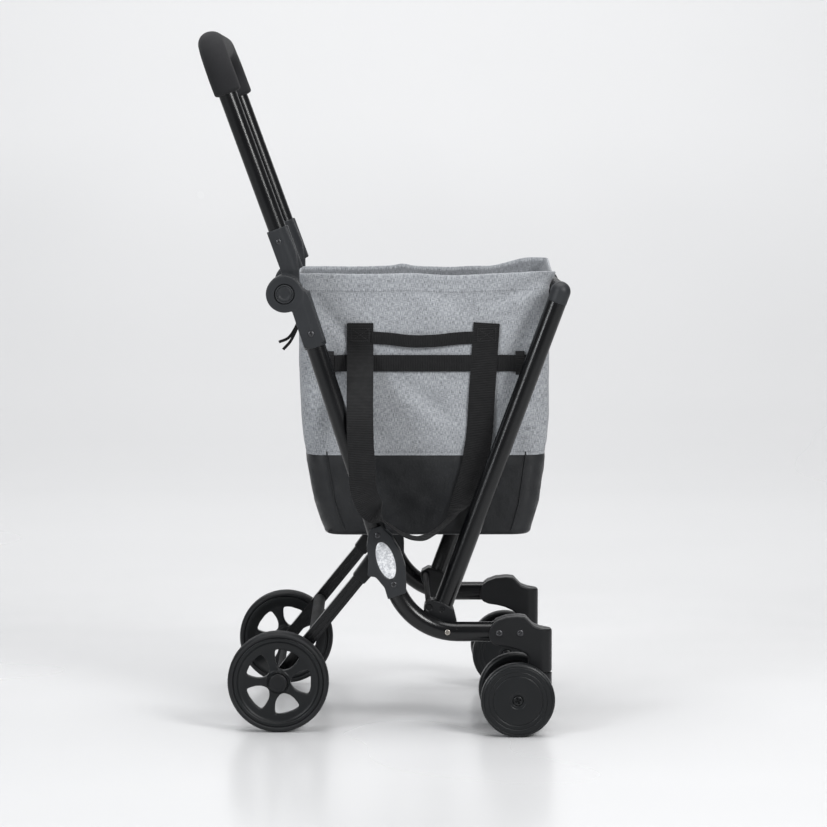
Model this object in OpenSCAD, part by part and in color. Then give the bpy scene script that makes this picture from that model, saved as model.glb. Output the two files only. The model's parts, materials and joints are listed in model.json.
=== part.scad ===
// Folding four-wheeled shopping trolley with a fabric bag and a tilting push handle.
// +X is the way it rolls, +Z is up. The origin is on the floor under the middle of the trolley.
// "Left" is +Y, as seen by the person who pushes it. Every side part is drawn once, for the
// left side, and mirrored for the right.

/* [Frame] */
// Distance between the middles of the two side tubes
frame_w = 390; // [340:5:470]
// Outside diameter of the side tubes and the front tubes
tube_d = 28; // [24:1:30]
// Wall of every frame tube
tube_wall = 1.5; // [1:0.1:2.5]
// Backward lean of the side tubes, in degrees from upright
side_lean = 18.06; // [14:0.01:22]
// Length of a side tube, from the level of its rail to the level of the handle hinge
side_len = 516; // [420:1:620]
// Bend radius of the side tubes
bend_r = 95; // [80:1:110]
// Height of the rails, the low horizontal ends of the side tubes
rail_z = 144; // [136:1:156]
// Length of a rail, from the end of the bend to the caster's swivel axis
rail_len = 117.8; // [100:0.1:150]

/* [Handle] */
// Length of the handle's legs, from the hinge level to the middle of the crossbar
handle_len = 368; // [300:1:450]
// Outside diameter of the handle tube
handle_d = 26; // [22:1:28]
// Backward lean of the upright handle, in degrees
handle_lean = 20; // [10:0.5:25]
// How much further in the handle's legs are than the side tubes
handle_inset = 15; // [15:0.5:20]
// Corner radius of the handle tube
handle_bend_r = 55; // [45:1:80]
// Outside diameter of the foam grip
grip_d = 37; // [32:1:42]
// How far the grip runs down each leg from the crossbar
grip_drop = 76; // [62:1:110]
// Outside diameter of the handle's hinge discs
hinge_d = 52.6; // [48:0.1:60]
// Outside diameter of the push buttons
button_d = 26.6; // [22:0.1:30]

/* [Front frame] */
// Length of the front frame, from its pivot to its top bar
front_len = 511; // [440:1:600]
// Forward lean of the front frame, in degrees
front_lean = 20.4; // [14:0.1:26]
// How much further in the front tubes are than the side tubes
front_inset = 30; // [28:0.5:45]
// Outside diameter of the front frame's top bar
top_bar_d = 18; // [14:1:22]

/* [Rear legs] */
// Length of a rear leg, from its pivot to the wheel axle
leg_len = 232.2; // [200:0.1:270]
// Backward lean of the rear legs, in degrees
leg_lean = 39.06; // [35:0.01:43]
// How much further in the rear legs are than the side tubes
leg_inset = 40; // [35:0.5:50]
// Width of a leg, seen from the side
leg_d = 17.8; // [14:0.1:22]

/* [Wheels] */
// How much further out a rear wheel's middle is than its leg's
wheel_outset = 42; // [35:0.5:65]
// Width of a rear tyre
rear_tyre_w = 28; // [22:1:32]
// Thickness of a rear tyre's rubber, from the rim out
rear_tyre_t = 8; // [6:0.5:12]
// Number of spokes of a rear wheel
spokes = 5; // [4:1:7]
// Diameter of a caster wheel
caster_d = 106; // [90:1:112]
// Width of a caster wheel
caster_wheel_w = 21; // [16:1:26]
// Distance between the middles of a caster's two wheels
caster_pair_w = 90; // [80:1:100]
// How far a caster's axle is behind its swivel axis
caster_trail = 33.5; // [25:0.5:45]

/* [Bag] */
// How much further in the bag's sides are than the side tubes
bag_inset = 70; // [60:0.5:95]
// Height of the bag's rim above its bottom
bag_h = 380; // [316:1:420]
// Depth of the bag's rim, front to back
bag_depth = 364; // [300:1:366]
// Height of the black lower part of the bag
bag_low_h = 121; // [90:1:160]
// Thickness of the bag's fabric with its lining
cloth_t = 3; // [2:0.5:5]
// Width of the carrying straps
strap_w = 38; // [25:1:45]

/* [Clearances] */
// Radial play of a pin or axle in its hole
pin_play = 0.05; // [0.02:0.01:0.1]
// Gap between neighbours that don't touch
gap = 0.4; // [0.3:0.1:1]

/* [Hidden] */
$fn = 48;

black = "#26272a";
charcoal = "#323438";
steel = "#b9bcc0";
grey_cloth = "#8f9298";
dark_cloth = "#232528";

// Unit vectors in the side view, as [x, z]: up a line that leans by an angle, and square to it.
function up(lean) = [sin(lean), cos(lean)];
function fore(lean) = [cos(lean), -sin(lean)];
// The point a distance along and a distance ahead of a leaning line through a point.
function on_line(p, lean, along, ahead = 0) = p + along * up(lean) + ahead * fore(lean);

side_y = frame_w / 2;
tube_r = tube_d / 2;
shell_t = 3;                       // wall of the plastic shells round the tubes

// Side tube: a straight that leans back, a bend, and a rail that runs forward to the caster.
rail_end_trim = 19;                // how far the rail stops short of the swivel axis
rail_lap = 2;                      // how far the rail closes over the end of the bend
rail_swell = 0.15;                 // how much wider it is, on its radius
foot = [36.2, rail_z];             // where the leaning line would meet the rail
bend_tangent = bend_r * tan((90 - side_lean) / 2);
bend_end_x = foot[0] + bend_tangent;
swivel_x = bend_end_x + rail_len;

// Handle hinge: its axis stands behind the side tube.
hinge_back = 18.4;
hinge_pt = on_line(foot, -side_lean, side_len, -hinge_back);
hinge_r = hinge_d / 2;
handle_y = side_y - handle_inset;
handle_ahead = 21.2;               // the handle tube runs this far ahead of the hinge axis
handle_r = handle_d / 2;
grip_pt = on_line(hinge_pt, -handle_lean, handle_len, handle_ahead);

// Joint bracket: a shield round the side tube, with the rear legs' pivot behind the tube's axis.
bracket_up = 110.8;
bracket_pt = on_line(foot, -side_lean, bracket_up);
leg_pivot = on_line(bracket_pt, -side_lean, 6, -6.5);
axle_pt = leg_pivot - leg_len * up(leg_lean);
rear_r = axle_pt[1];               // the rear wheels reach the floor
shaft_r = 7;
leg_y = side_y - leg_inset;
wheel_y = leg_y + wheel_outset;

// Front frame: pivots on a bolt through the side tube's bend, ahead of its own tubes.
pivot_back = 15.2;
pivot_pt = [bend_end_x - pivot_back, rail_z + bend_r - sqrt(bend_r * bend_r - pivot_back * pivot_back)];
front_behind = 16.8;
front_y = side_y - front_inset;
front_base = on_line(pivot_pt, front_lean, 0, -front_behind);
front_top = on_line(front_base, front_lean, front_len);
elbow_r = tube_r + 0.3;
bolt_r = 4;

// Casters: two wheels, one each side of a swivelling body.
caster_r = caster_d / 2;
caster_axle = [swivel_x - caster_trail, caster_r];
stem_r = 6;
stem_housing_r = tube_r + shell_t + 0.1;
stem_low_z = rail_z - 57;
caster_axle_r = 4;

// Bag: its rim hangs from the hinge cross tube and the front frame's top bar.
bag_top = 653;
bag_bottom = bag_top - bag_h;
bag_front = front_top[0] - top_bar_d / 2 - 4;
bag_back = bag_front - bag_depth;
seam_z = bag_bottom + bag_low_h;
bag_y = side_y - bag_inset;
strap_t = 2.5;

// ---- shape helpers ----

// A flat outline in the side view, given as [x, z] points, made thick from y0 to y1.
module slab(y0, y1) {
    translate([0, y1, 0]) rotate([90, 0, 0]) linear_extrude(y1 - y0) children();
}

// A cylinder across the trolley, with its axis at the side-view point p, from y0 to y1.
module cross_rod(p, r, y0, y1) {
    translate([p[0], y0, p[1]]) rotate([-90, 0, 0]) cylinder(h = y1 - y0, r = r);
}

// Moves to side-view point p at distance y to the side, with +Z up a line that leans.
module at_lean(p, y, lean) {
    translate([p[0], y, p[1]]) rotate([0, lean, 0]) children();
}

// The left side's part, or its mirror image on the right.
module on_side(side) {
    if (side == "left") children();
    else mirror([0, 1, 0]) children();
}

module both_sides() {
    children();
    mirror([0, 1, 0]) children();
}

// A round tube along Z with its wall inside.
module pipe(d, h, wall = tube_wall) {
    difference() {
        cylinder(h = h, d = d);
        translate([0, 0, -1]) cylinder(h = h + 2, d = d - 2 * wall);
    }
}

// A screw head with a cross recess's plain round dimple, along +Y.
module screw(p, y, r = 4, head_t = 1.6, shank = 8) {
    difference() {
        union() {
            cross_rod(p, r, y, y + head_t);
            cross_rod(p, 0.5 * r, y - shank, y + 0.1);
        }
        cross_rod(p, 0.4 * r, y + head_t - 0.9, y + head_t + 1);
    }
}

// The hole that such a screw's shank sits in and the pocket under its head, with the play.
module screw_hole(p, y, r = 4, shank = 8) {
    cross_rod(p, 0.5 * r + 0.1, y - shank - 0.5, y + 0.1);
    cross_rod(p, r + 0.15, y, y + 20);
}

// A closed ribbon or bar swept along rings of four corners each.
module swept_band(rings) {
    n = len(rings);
    points = [for (ring = rings) for (c = ring) c];
    near = [for (i = [0:n - 2]) for (k = [0:3])
        [4 * i + k, 4 * i + (k + 1) % 4, 4 * (i + 1) + (k + 1) % 4]];
    far = [for (i = [0:n - 2]) for (k = [0:3])
        [4 * i + k, 4 * (i + 1) + (k + 1) % 4, 4 * (i + 1) + k]];
    ends = [[2, 1, 0], [3, 2, 0], [4 * n - 4, 4 * n - 3, 4 * n - 2], [4 * n - 4, 4 * n - 2, 4 * n - 1]];
    polyhedron(points, concat(near, far, ends), convexity = 6);
}

// Corners of a band at each path point: across half its width, and through half its thickness.
function unit(v) = v / norm(v);
function band_rings(path, across, width, thick) = [for (i = [0:len(path) - 1])
    let (a = max(i - 1, 0), b = min(i + 1, len(path) - 1),
         t = unit(path[b] - path[a]),
         w = unit(across[i] - (across[i] * t) * t),
         n = cross(t, w))
    [path[i] - w * width / 2 - n * thick / 2, path[i] + w * width / 2 - n * thick / 2,
     path[i] + w * width / 2 + n * thick / 2, path[i] - w * width / 2 + n * thick / 2]];

// ---- chassis ----

socket_len = 82;                   // how far the lower socket reaches down the side tube
tube_stop = 30;                    // the side tube ends this far below the hinge's level

// A side tube's solid of one radius, reaching a little past its ends where it is a bore.
// The bend and the straight stand in the bend's own frame, so that their ends meet exactly.
// The rail is a shade wider and closes over the bend's end.
module side_tube_solid(r, past = 0) {
    straight = side_len - tube_stop - bend_tangent + past;
    translate([bend_end_x, side_y, rail_z]) {
        translate([-rail_lap, 0, 0]) rotate([0, 90, 0])
            cylinder(h = rail_len - rail_end_trim + rail_lap + past, r = r + rail_swell);
        translate([0, 0, bend_r]) rotate([90, -180 - side_lean, 0]) {
            rotate_extrude(angle = 90 - side_lean, $fn = 96) translate([bend_r, 0]) circle(r = r);
            translate([bend_r, 0, 0]) rotate([90, 0, 0]) cylinder(h = straight, r = r);
        }
    }
}

module main_tube(side) {
    color(black) on_side(side) difference() {
        side_tube_solid(tube_r);
        side_tube_solid(tube_r - tube_wall, 1);
        cross_rod(pivot_pt, bolt_r + pin_play, side_y - 2 * tube_r, side_y + 2 * tube_r);
        for (p = bracket_screw_pts) screw_hole(p, bracket_out_y - 1.5, 3.6);
        for (p = fork_screw_pts) screw_hole(p, fork_out_y - 1.5);
        for (p = socket_screw_pts) screw_hole(p, lower_out_y - 1.5, 3.6);
    }
}

lower_out_y = side_y + tube_r + shell_t;
lower_in_y = side_y + 1.5;         // the lower disc's inner face, where the upper disc turns
socket_r = tube_r + shell_t - 0.5;
socket_screw_pts = [on_line(foot, -side_lean, side_len - 65)];

// Lower half of the handle hinge: a socket on the side tube and the outer disc.
module hinge_lower(side) {
    color(charcoal) on_side(side) difference() {
        union() {
            cross_rod(hinge_pt, hinge_r, lower_in_y, lower_out_y);
            at_lean(on_line(foot, -side_lean, side_len - socket_len - 4), side_y, -side_lean)
                cylinder(h = socket_len - 2, r = socket_r);
            slab(side_y - 4, lower_out_y - 1) polygon([
                on_line(foot, -side_lean, side_len - 4, -socket_r + 3),
                on_line(foot, -side_lean, side_len - 20, -socket_r + 1),
                on_line(foot, -side_lean, side_len - socket_len, -socket_r + 1),
                on_line(foot, -side_lean, side_len - socket_len, socket_r - 1),
                on_line(foot, -side_lean, side_len - 20, socket_r - 1),
                on_line(foot, -side_lean, side_len - 9, socket_r - 2),
                on_line(foot, -side_lean, side_len - 3, socket_r - 4.5),
                on_line(foot, -side_lean, side_len + 3, 7)
            ]);
        }
        // room for the upper disc, the tube, the pin, the button and the lock gear
        cross_rod(hinge_pt, hinge_r + gap, side_y - 2 * tube_r, lower_in_y);
        at_lean(on_line(foot, -side_lean, side_len - socket_len - 20), side_y, -side_lean)
            cylinder(h = socket_len + 20 - tube_stop + 0.2, r = tube_r);
        cross_rod(hinge_pt, pin_r, 0, web_out_y + 1);
        cross_rod(hinge_pt, button_d / 2 + gap, web_out_y, lower_out_y + 1);
        cross_rod(hinge_pt, gear_r + gap, lower_in_y - 1, web_in_y);
        for (p = prong_pts) cross_rod(p, prong_r + gap, lower_in_y, lower_out_y);
        for (p = socket_screw_pts) screw_hole(p, lower_out_y - 1.5, 3.6);
    }
}

// Joint bracket: a shield of two shells, [ahead, along] about the bracket's middle.
bracket_out_y = side_y + tube_r + shell_t + 2;
bracket_in_y = side_y - tube_r - 1.5;
bracket_outline = [
    [-9, 49], [-20, 27], [-24, 6], [-31.7, -13], [-21, -19], [-14, -37], [-14.5, -54],
    [13, -54], [19, -36], [24, -17], [24, 5], [19, 30], [10, 49]
];
bracket_screw_pts = [on_line(bracket_pt, -side_lean, 38), on_line(bracket_pt, -side_lean, -36.5)];

module bracket_profile() {
    polygon([for (p = bracket_outline) on_line(bracket_pt, -side_lean, p[1], p[0])]);
}

inset_long = 28;
inset_short = 13;
inset_t = 1.6;

module inset_shape(r_add, y0, y1) {
    translate([bracket_pt[0], 0, bracket_pt[1]]) rotate([0, -side_lean, 0])
        slab(y0, y1) scale([inset_short / inset_long, 1]) circle(r = inset_long + r_add);
}

module bracket_shell(y0, y1) {
    difference() {
        slab(y0, y1) bracket_profile();
        side_tube_solid(tube_r);
        cross_rod(leg_pivot, shaft_r, 0, side_y - tube_r - 0.01);
        for (p = bracket_screw_pts) screw_hole(p, bracket_out_y - 1.5, 3.6);
    }
}

module bracket_outer(side) {
    color(charcoal) on_side(side) difference() {
        bracket_shell(side_y, bracket_out_y);
        inset_shape(0.6, bracket_out_y - inset_t, bracket_out_y + 1);
    }
}

module bracket_inner_shells() {
    color(charcoal) both_sides() bracket_shell(bracket_in_y, side_y);
}

module bracket_insets() {
    color("#c9cdd2") both_sides() inset_shape(0, bracket_out_y - inset_t, bracket_out_y + 0.6);
}

// Caster fork: a housing of two shells round the rail's end, with the swivel stem's bore.
fork_out_y = side_y + stem_housing_r;
fork_in_y = side_y - stem_housing_r;
fork_screw_pts = [[swivel_x - 59, rail_z], [swivel_x - 29, rail_z]];
fork_inner_screw = [swivel_x + 2.6, rail_z - 27];
bush_r = 9;

// Points are [ahead of the swivel axis, above the rail's middle].
fork_outline = [
    [-74.7, -1.9], [-73.5, 5.3], [-70.4, 10.6], [-62, 17.6], [-48.8, 22.4], [-32, 24], [-21.3, 22.8],
    [-16.5, 17.6], [-9.3, 10.3], [1.5, 6.4], [15.3, 4.8], [17.1, 3], [17.1, -57], [-17.1, -57],
    [-17.3, -33.7], [-23, -29], [-34.4, -23.6], [-46.4, -20.4], [-60.8, -18.2], [-69.2, -14.4], [-73.3, -8.6]
];

module fork_shell(y0, y1) {
    difference() {
        intersection() {
            union() {
                slab(fork_in_y, fork_out_y) polygon([for (p = fork_outline) [swivel_x, rail_z] + p]);
            }
            union() {
                translate([swivel_x - 100, fork_in_y, 0]) cube([100, fork_out_y - fork_in_y, 400]);
                translate([swivel_x, side_y, 0]) cylinder(h = 400, r = stem_housing_r);
            }
            translate([0, y0, 0]) cube([600, y1 - y0, 400]);
        }
        side_tube_solid(tube_r);
        translate([swivel_x, side_y, stem_low_z - 1]) cylinder(h = 40.5, r = bush_r);
        translate([swivel_x, side_y, stem_low_z + 30]) cylinder(h = 14, r = stem_r + 3.5);
        for (p = fork_screw_pts) screw_hole(p, fork_out_y - 1.5);
    }
}

module fork_outer(side) {
    color(black) on_side(side) fork_shell(side_y, fork_out_y);
}

module fork_inner_shells() {
    color(black) both_sides() fork_shell(fork_in_y, side_y);
}

module fork_bushes() {
    color(steel) both_sides() translate([swivel_x, side_y, stem_low_z]) difference() {
        cylinder(h = 28, r = bush_r);
        translate([0, 0, -1]) cylinder(h = 30, r = stem_r + pin_play);
    }
}

module leg_pivot_shaft() {
    reach = side_y - tube_r - 0.05;
    color(steel) difference() {
        cross_rod(leg_pivot, shaft_r, -reach, reach);
        cross_rod(leg_pivot, shaft_r - tube_wall, -reach - 1, reach + 1);
    }
}

back_tube_r = 8;
upper_in_y = handle_y - handle_r - shell_t;

// Tube between the two hinges, on their axis, that the bag's back hangs from.
module back_cross_tube() {
    reach = upper_in_y - 0.6;
    color(black) difference() {
        cross_rod(hinge_pt, back_tube_r, -reach, reach);
        cross_rod(hinge_pt, pin_r, -reach - 1, -reach + 14);
        cross_rod(hinge_pt, pin_r, reach - 14, reach + 1);
        cross_rod(hinge_pt, back_tube_r - tube_wall, -reach + 12, reach - 12);
    }
}

pin_r = 4;

// Steel pin of each hinge, held in the cross tube and in the lower disc.
module hinge_pins() {
    color(steel) both_sides() cross_rod(hinge_pt, pin_r, upper_in_y - 12, web_out_y);
}

module front_pivot_bolts() {
    reach_in = front_y - tube_r - 5;
    color(steel) both_sides() union() {
        cross_rod(pivot_pt, bolt_r, reach_in, side_y + tube_r + 0.6);
        cross_rod(pivot_pt, 5, side_y + tube_r + 0.5, side_y + tube_r + 3);
    }
}

module frame_screws() {
    color(steel) both_sides() {
        for (p = bracket_screw_pts) screw(p, bracket_out_y - 1.5, 3.6);
        for (p = fork_screw_pts) screw(p, fork_out_y - 1.5, 4);
        for (p = socket_screw_pts) screw(p, lower_out_y - 1.5, 3.6);
    }
}

// ---- bag ----

// Side outline of the bag between two heights, taken in from the cloth's outside.
// The back and front walls slope in below the seam.
back_slope = [[bag_top, 0], [seam_z + 60, 6], [seam_z, 11], [bag_bottom + 55, 21], [bag_bottom, 38]];
front_slope = [[bag_top, 0], [seam_z + 60, 1], [seam_z, 4], [bag_bottom + 55, 15], [bag_bottom, 30]];

function bag_outline(z_low, z_high, inset, low_inset) = concat(
    [for (p = back_slope) if (p[0] >= z_low && p[0] <= z_high) [bag_back + p[1] + inset, max(p[0], z_low + low_inset)]],
    [for (i = [len(front_slope) - 1:-1:0]) let (p = front_slope[i])
        if (p[0] >= z_low && p[0] <= z_high) [bag_front - p[1] - inset, max(p[0], z_low + low_inset)]]
);

module bag_upper() {
    color(grey_cloth) difference() {
        slab(-bag_y, bag_y) polygon(bag_outline(seam_z, bag_top, 0, 0));
        slab(-bag_y + cloth_t, bag_y - cloth_t) polygon(bag_outline(seam_z, bag_top, cloth_t, 0));
    }
}

module bag_lower() {
    color(dark_cloth) difference() {
        slab(-bag_y, bag_y) polygon(bag_outline(bag_bottom, seam_z, 0, 0));
        slab(-bag_y + cloth_t, bag_y - cloth_t) polygon(bag_outline(bag_bottom, seam_z, cloth_t, cloth_t));
    }
}

board_t = 4;
board_z = bag_bottom + cloth_t;
board_back = bag_back + 38 + cloth_t + 2;
board_front = bag_front - 30 - cloth_t - 2;

module bag_base_board() {
    color(charcoal) translate([board_back, -bag_y + cloth_t + 3, board_z])
        cube([board_front - board_back, 2 * (bag_y - cloth_t - 3), board_t]);
}

hem_h = 12;
sleeve_w = 2 * bag_y - 40;             // width of the sleeves that hang the bag

// The folded hem that stiffens the rim, sewn inside it, and the cloth sleeve that hangs the
// bag's back on the hinge cross tube.
module bag_rim_hem() {
    color(dark_cloth) difference() {
        union() {
            cross_rod(hinge_pt, back_tube_r + 2.1, -sleeve_w / 2, sleeve_w / 2);
            translate([bag_back - gap - 2, -sleeve_w / 2, hinge_pt[1] - 50])
                cube([2, sleeve_w, 50 + back_tube_r + 2.1]);
            translate([hinge_pt[0], -sleeve_w / 2, hinge_pt[1] + back_tube_r + 0.1])
                cube([bag_back - gap - 1 - hinge_pt[0], sleeve_w, 2]);
        }
        cross_rod(hinge_pt, back_tube_r + 0.1, -sleeve_w, sleeve_w);
    }
    x0 = bag_back + cloth_t + 0.4; // clear of the walls, which slope in
    x1 = bag_front - cloth_t - 0.1;
    y1 = bag_y - cloth_t;
    color(grey_cloth) translate([0, 0, bag_top - hem_h]) difference() {
        translate([x0, -y1, 0]) cube([x1 - x0, 2 * y1, hem_h]);
        translate([x0 + 2, -y1 + 2, -1]) cube([x1 - x0 - 4, 2 * y1 - 4, hem_h + 2]);
    }
}

// Carrying strap: sewn high on the bag's side, outside the side tube, and round under the bag.
loop_back_x = bag_back + 90;
loop_front_x = bag_front - 92;
loop_out_y = bracket_out_y + 4;    // it hangs this far out beside the side tube
// Where it turns over above the bracket its middle is out far enough for half its width.
loop_turn_y = bracket_out_y + strap_w / 2;
loop_low = [bracket_pt[0], bag_bottom];
loop_path = [
    [loop_back_x, bag_y + 2, bag_top - 73], [loop_back_x, bag_y + 3, bag_top - 110],
    [loop_back_x, side_y - 25, bag_top - 150], [loop_back_x, loop_out_y - 4, bag_top - 200],
    [loop_back_x + 1, loop_out_y, bag_top - 240], [loop_back_x + 2, loop_out_y + 1, bag_top - 318],
    [loop_low[0] - 21, loop_out_y + 9, loop_low[1] + 57], [loop_low[0] - 7, loop_turn_y, loop_low[1] + 42],
    [loop_low[0] + 6, loop_turn_y - 2, loop_low[1] + 31], [loop_low[0] + 20, loop_turn_y - 8, loop_low[1] + 20],
    [loop_low[0] + 34, loop_turn_y - 18, loop_low[1] + 11], [loop_low[0] + 48, loop_turn_y - 29, loop_low[1] + 8],
    [loop_low[0] + 63, loop_turn_y - 42, loop_low[1] + 11], [loop_low[0] + 77, bag_y + 50, loop_low[1] + 20],
    [loop_low[0] + 90, bag_y + 33, loop_low[1] + 34], [loop_low[0] + 99, bag_y + 20, loop_low[1] + 50],
    [loop_front_x - 34, bag_y + 11, loop_low[1] + 72], [loop_front_x - 14, bag_y + 6, bag_top - 250],
    [loop_front_x - 8, bag_y + 3, bag_top - 160], [loop_front_x, bag_y + 2, bag_top - 73]
];
// The way the strap's width runs at each point of its path.
loop_across = [
    [1, 0, 0], [1, 0, 0], [1, 0, 0], [1, 0, 0], [1, 0, 0], [1, 0, 0], [0.9, 0.35, 0], [0.4, 0.9, 0],
    [0, 1, 0], [0, 1, 0], [0, 1, 0], [0, 1, 0], [0, 1, 0], [0.1, 1, 0], [0.35, 0.95, 0], [0.7, 0.7, 0],
    [1, 0, 0], [1, 0, 0], [1, 0, 0], [1, 0, 0]
];

module bag_carry_loops() {
    color(dark_cloth) both_sides() swept_band(band_rings(loop_path, loop_across, strap_w, strap_t));
}

// Bands sewn along each side of the bag: a short upper one and a long lower one, whose ends
// lie behind the side tube and behind the front tube.
upper_band_z = bag_top - 96;
lower_band_z = bag_top - 132;

module side_band(x0, x1, z, width) {
    translate([x0, bag_y, z - width / 2]) cube([x1 - x0, strap_t, width]);
}

module bag_side_straps() {
    color(dark_cloth) both_sides() {
        side_band(loop_back_x + strap_w / 2 + 1, loop_front_x - strap_w / 2 - 8, upper_band_z, 18);
        side_band(bag_back + 27, loop_back_x - strap_w / 2 - 1, lower_band_z, 24);
        side_band(loop_back_x + strap_w / 2 + 1, loop_front_x - strap_w / 2 - 8, lower_band_z, 24);
        side_band(loop_front_x + strap_w / 2 + 1, bag_front - 32, lower_band_z, 24);
    }
}

// ---- hinge buttons ----

button_proud = 2.5;
button_travel = 4;
gear_r = 11;
gear_root_r = 9;
gear_in_y = lower_in_y - 2.5;
web_in_y = lower_in_y + 4.5;       // the lower disc's web, between the lock gear and the button
web_out_y = lower_in_y + 7.5;
button_in_y = web_out_y + button_travel + 0.3;
prong_r = 1.4;
prong_pts = [for (i = [0:2]) hinge_pt + 6.7 * up(120 * i)];
handle_step = 15;                  // the handle locks at every such angle
// Corners of one tooth, as [radius, angle].
gear_tooth = [[gear_root_r, -5], [gear_r, -4], [gear_r, 4], [gear_root_r, 5]];

// Push button: dished in the middle, with a ring groove in its face.
module hinge_button(side) {
    face_y = lower_out_y + button_proud;
    color(charcoal) on_side(side) difference() {
        cross_rod(hinge_pt, button_d / 2, button_in_y, face_y);
        cross_rod(hinge_pt, 7.4, face_y - 1.2, face_y + 1);
    }
}

// Toothed block that locks the two discs, one tooth for each handle step. Its three prongs
// reach through the lower disc's web to the button.
module lock_gear(side) {
    gear_out_y = gear_in_y + 6;
    color(steel) on_side(side) difference() {
        union() {
            slab(gear_in_y, gear_out_y) polygon([for (a = [0:handle_step:359], c = gear_tooth)
                hinge_pt + c[0] * up(a - handle_lean + c[1])]);
            for (p = prong_pts) cross_rod(p, prong_r, gear_out_y - 1, button_in_y);
        }
        cross_rod(hinge_pt, pin_r + 0.4, gear_in_y - 1, gear_out_y + 1);
    }
}

spring_turns = 4;
spring_r = 6.4;
wire_r = 0.7;

// Coil spring behind the lock gear: a round wire on a helix, square in section.
module button_spring(side) {
    y0 = handle_y - 4;
    y1 = gear_in_y - 1.2;
    steps = spring_turns * 14;
    path = [for (i = [0:steps]) let (a = 360 * i / 14)
        [hinge_pt[0] + spring_r * cos(a), y0 + (y1 - y0) * i / steps, hinge_pt[1] + spring_r * sin(a)]];
    across = [for (i = [0:steps]) let (a = 360 * i / 14) [cos(a), 0, sin(a)]];
    color(steel) on_side(side) swept_band(band_rings(path, across, 2 * wire_r, 2 * wire_r));
}

// ---- handle ----

upper_out_y = lower_in_y - 0.3;
upper_stop = 34;                   // the handle tube ends this far above the hinge's level
upper_len = 90;
handle_screw_pt = on_line(hinge_pt, -handle_lean, 72, handle_ahead - 4);

// The handle's outline as a solid of one radius: two legs, two corners and a crossbar.
module handle_solid(r, leg_from) {
    leg_to = handle_len - handle_bend_r;
    at_lean(hinge_pt, 0, -handle_lean) translate([handle_ahead, 0, 0]) {
        for (s = [-1, 1]) {
            translate([0, s * handle_y, leg_from]) cylinder(h = leg_to - leg_from, r = r);
            translate([0, s * (handle_y - handle_bend_r), leg_to]) rotate([90, 0, 90])
                rotate([0, 0, s > 0 ? 0 : 90])
                    rotate_extrude(angle = 90, $fn = 96) translate([handle_bend_r, 0]) circle(r = r);
        }
        translate([0, -handle_y + handle_bend_r, handle_len]) rotate([-90, 0, 0])
            cylinder(h = 2 * (handle_y - handle_bend_r), r = r);
    }
}

module handle_tube() {
    color(black) difference() {
        handle_solid(handle_r, upper_stop);
        handle_solid(handle_r - tube_wall, upper_stop - 1);
        both_sides() screw_hole(handle_screw_pt, upper_out_y - 1.7, 3.2);
    }
}

module handle_grip() {
    color(charcoal) difference() {
        handle_solid(grip_d / 2, handle_len - grip_drop);
        handle_solid(handle_r, handle_len - grip_drop - 1);
    }
}

// Upper half of the handle hinge: a socket on the handle tube and the inner disc.
module hinge_upper(side) {
    color(charcoal) on_side(side) difference() {
        union() {
            cross_rod(hinge_pt, hinge_r, upper_in_y, upper_out_y);
            at_lean(hinge_pt, handle_y, -handle_lean) translate([handle_ahead, 0, 26])
                cylinder(h = upper_len - 26, r = handle_r + shell_t);
            slab(upper_in_y + 1, handle_y + handle_r + shell_t - 1) polygon([
                on_line(hinge_pt, -handle_lean, 8, handle_ahead - handle_r - shell_t - 1.4),
                on_line(hinge_pt, -handle_lean, 30, handle_ahead - handle_r - shell_t + 0.6),
                on_line(hinge_pt, -handle_lean, upper_len - 6, handle_ahead - handle_r - shell_t + 0.6),
                on_line(hinge_pt, -handle_lean, upper_len, handle_ahead - handle_r),
                on_line(hinge_pt, -handle_lean, upper_len, handle_ahead + handle_r),
                on_line(hinge_pt, -handle_lean, 52, handle_ahead + handle_r + 1.5),
                on_line(hinge_pt, -handle_lean, 23, handle_ahead + 9),
                on_line(hinge_pt, -handle_lean, 8, hinge_r - 1.6)
            ]);
        }
        at_lean(hinge_pt, handle_y, -handle_lean) translate([handle_ahead, 0, upper_stop - 0.2])
            cylinder(h = upper_len, r = handle_r);
        cross_rod(hinge_pt, pin_r + pin_play, 0, lower_in_y + 1);
        cross_rod(hinge_pt, gear_r + gap, gear_in_y - button_travel - 1, lower_in_y + 1);
        cross_rod(hinge_pt, spring_r + wire_r + 0.6, handle_y - 5, lower_in_y + 1);
        screw_hole(handle_screw_pt, upper_out_y - 1.7, 3.2);
    }
}

module handle_screws() {
    color(steel) both_sides() screw(handle_screw_pt, upper_out_y - 1.7, 3.2);
}

// ---- front frame ----

front_tube_from = 14;              // the tube starts this far above the pivot's level
front_tube_trim = 17;              // and stops this far below the top bar's middle
end_screw_pt = on_line(front_base, front_lean, 24);
end_screw_y = side_y - tube_r - 2.2;
rod_r = 4;
rod_pt = on_line(front_base, front_lean, 20, -18.5);

module front_tube(side) {
    color(black) on_side(side) difference() {
        at_lean(on_line(front_base, front_lean, front_tube_from), front_y, front_lean)
            pipe(tube_d, front_len - front_tube_from - front_tube_trim);
        screw_hole(end_screw_pt, end_screw_y, 3.2);
    }
}

// Elbow: a plug in the tube, a ball corner and a collar that takes the top bar.
module front_elbows() {
    color(charcoal) both_sides() difference() {
        union() {
            translate([front_top[0], front_y, front_top[1]]) sphere(r = elbow_r, $fn = 64);
            at_lean(front_top, front_y, front_lean) translate([0, 0, -front_tube_trim])
                cylinder(h = front_tube_trim, r = elbow_r);
            cross_rod(front_top, elbow_r, front_y - 18, front_y);
            at_lean(front_top, front_y, front_lean) translate([0, 0, -front_tube_trim - 22])
                cylinder(h = 23, r = tube_r - tube_wall);
        }
        cross_rod(front_top, top_bar_d / 2, 0, front_y - 2);
    }
}

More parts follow.
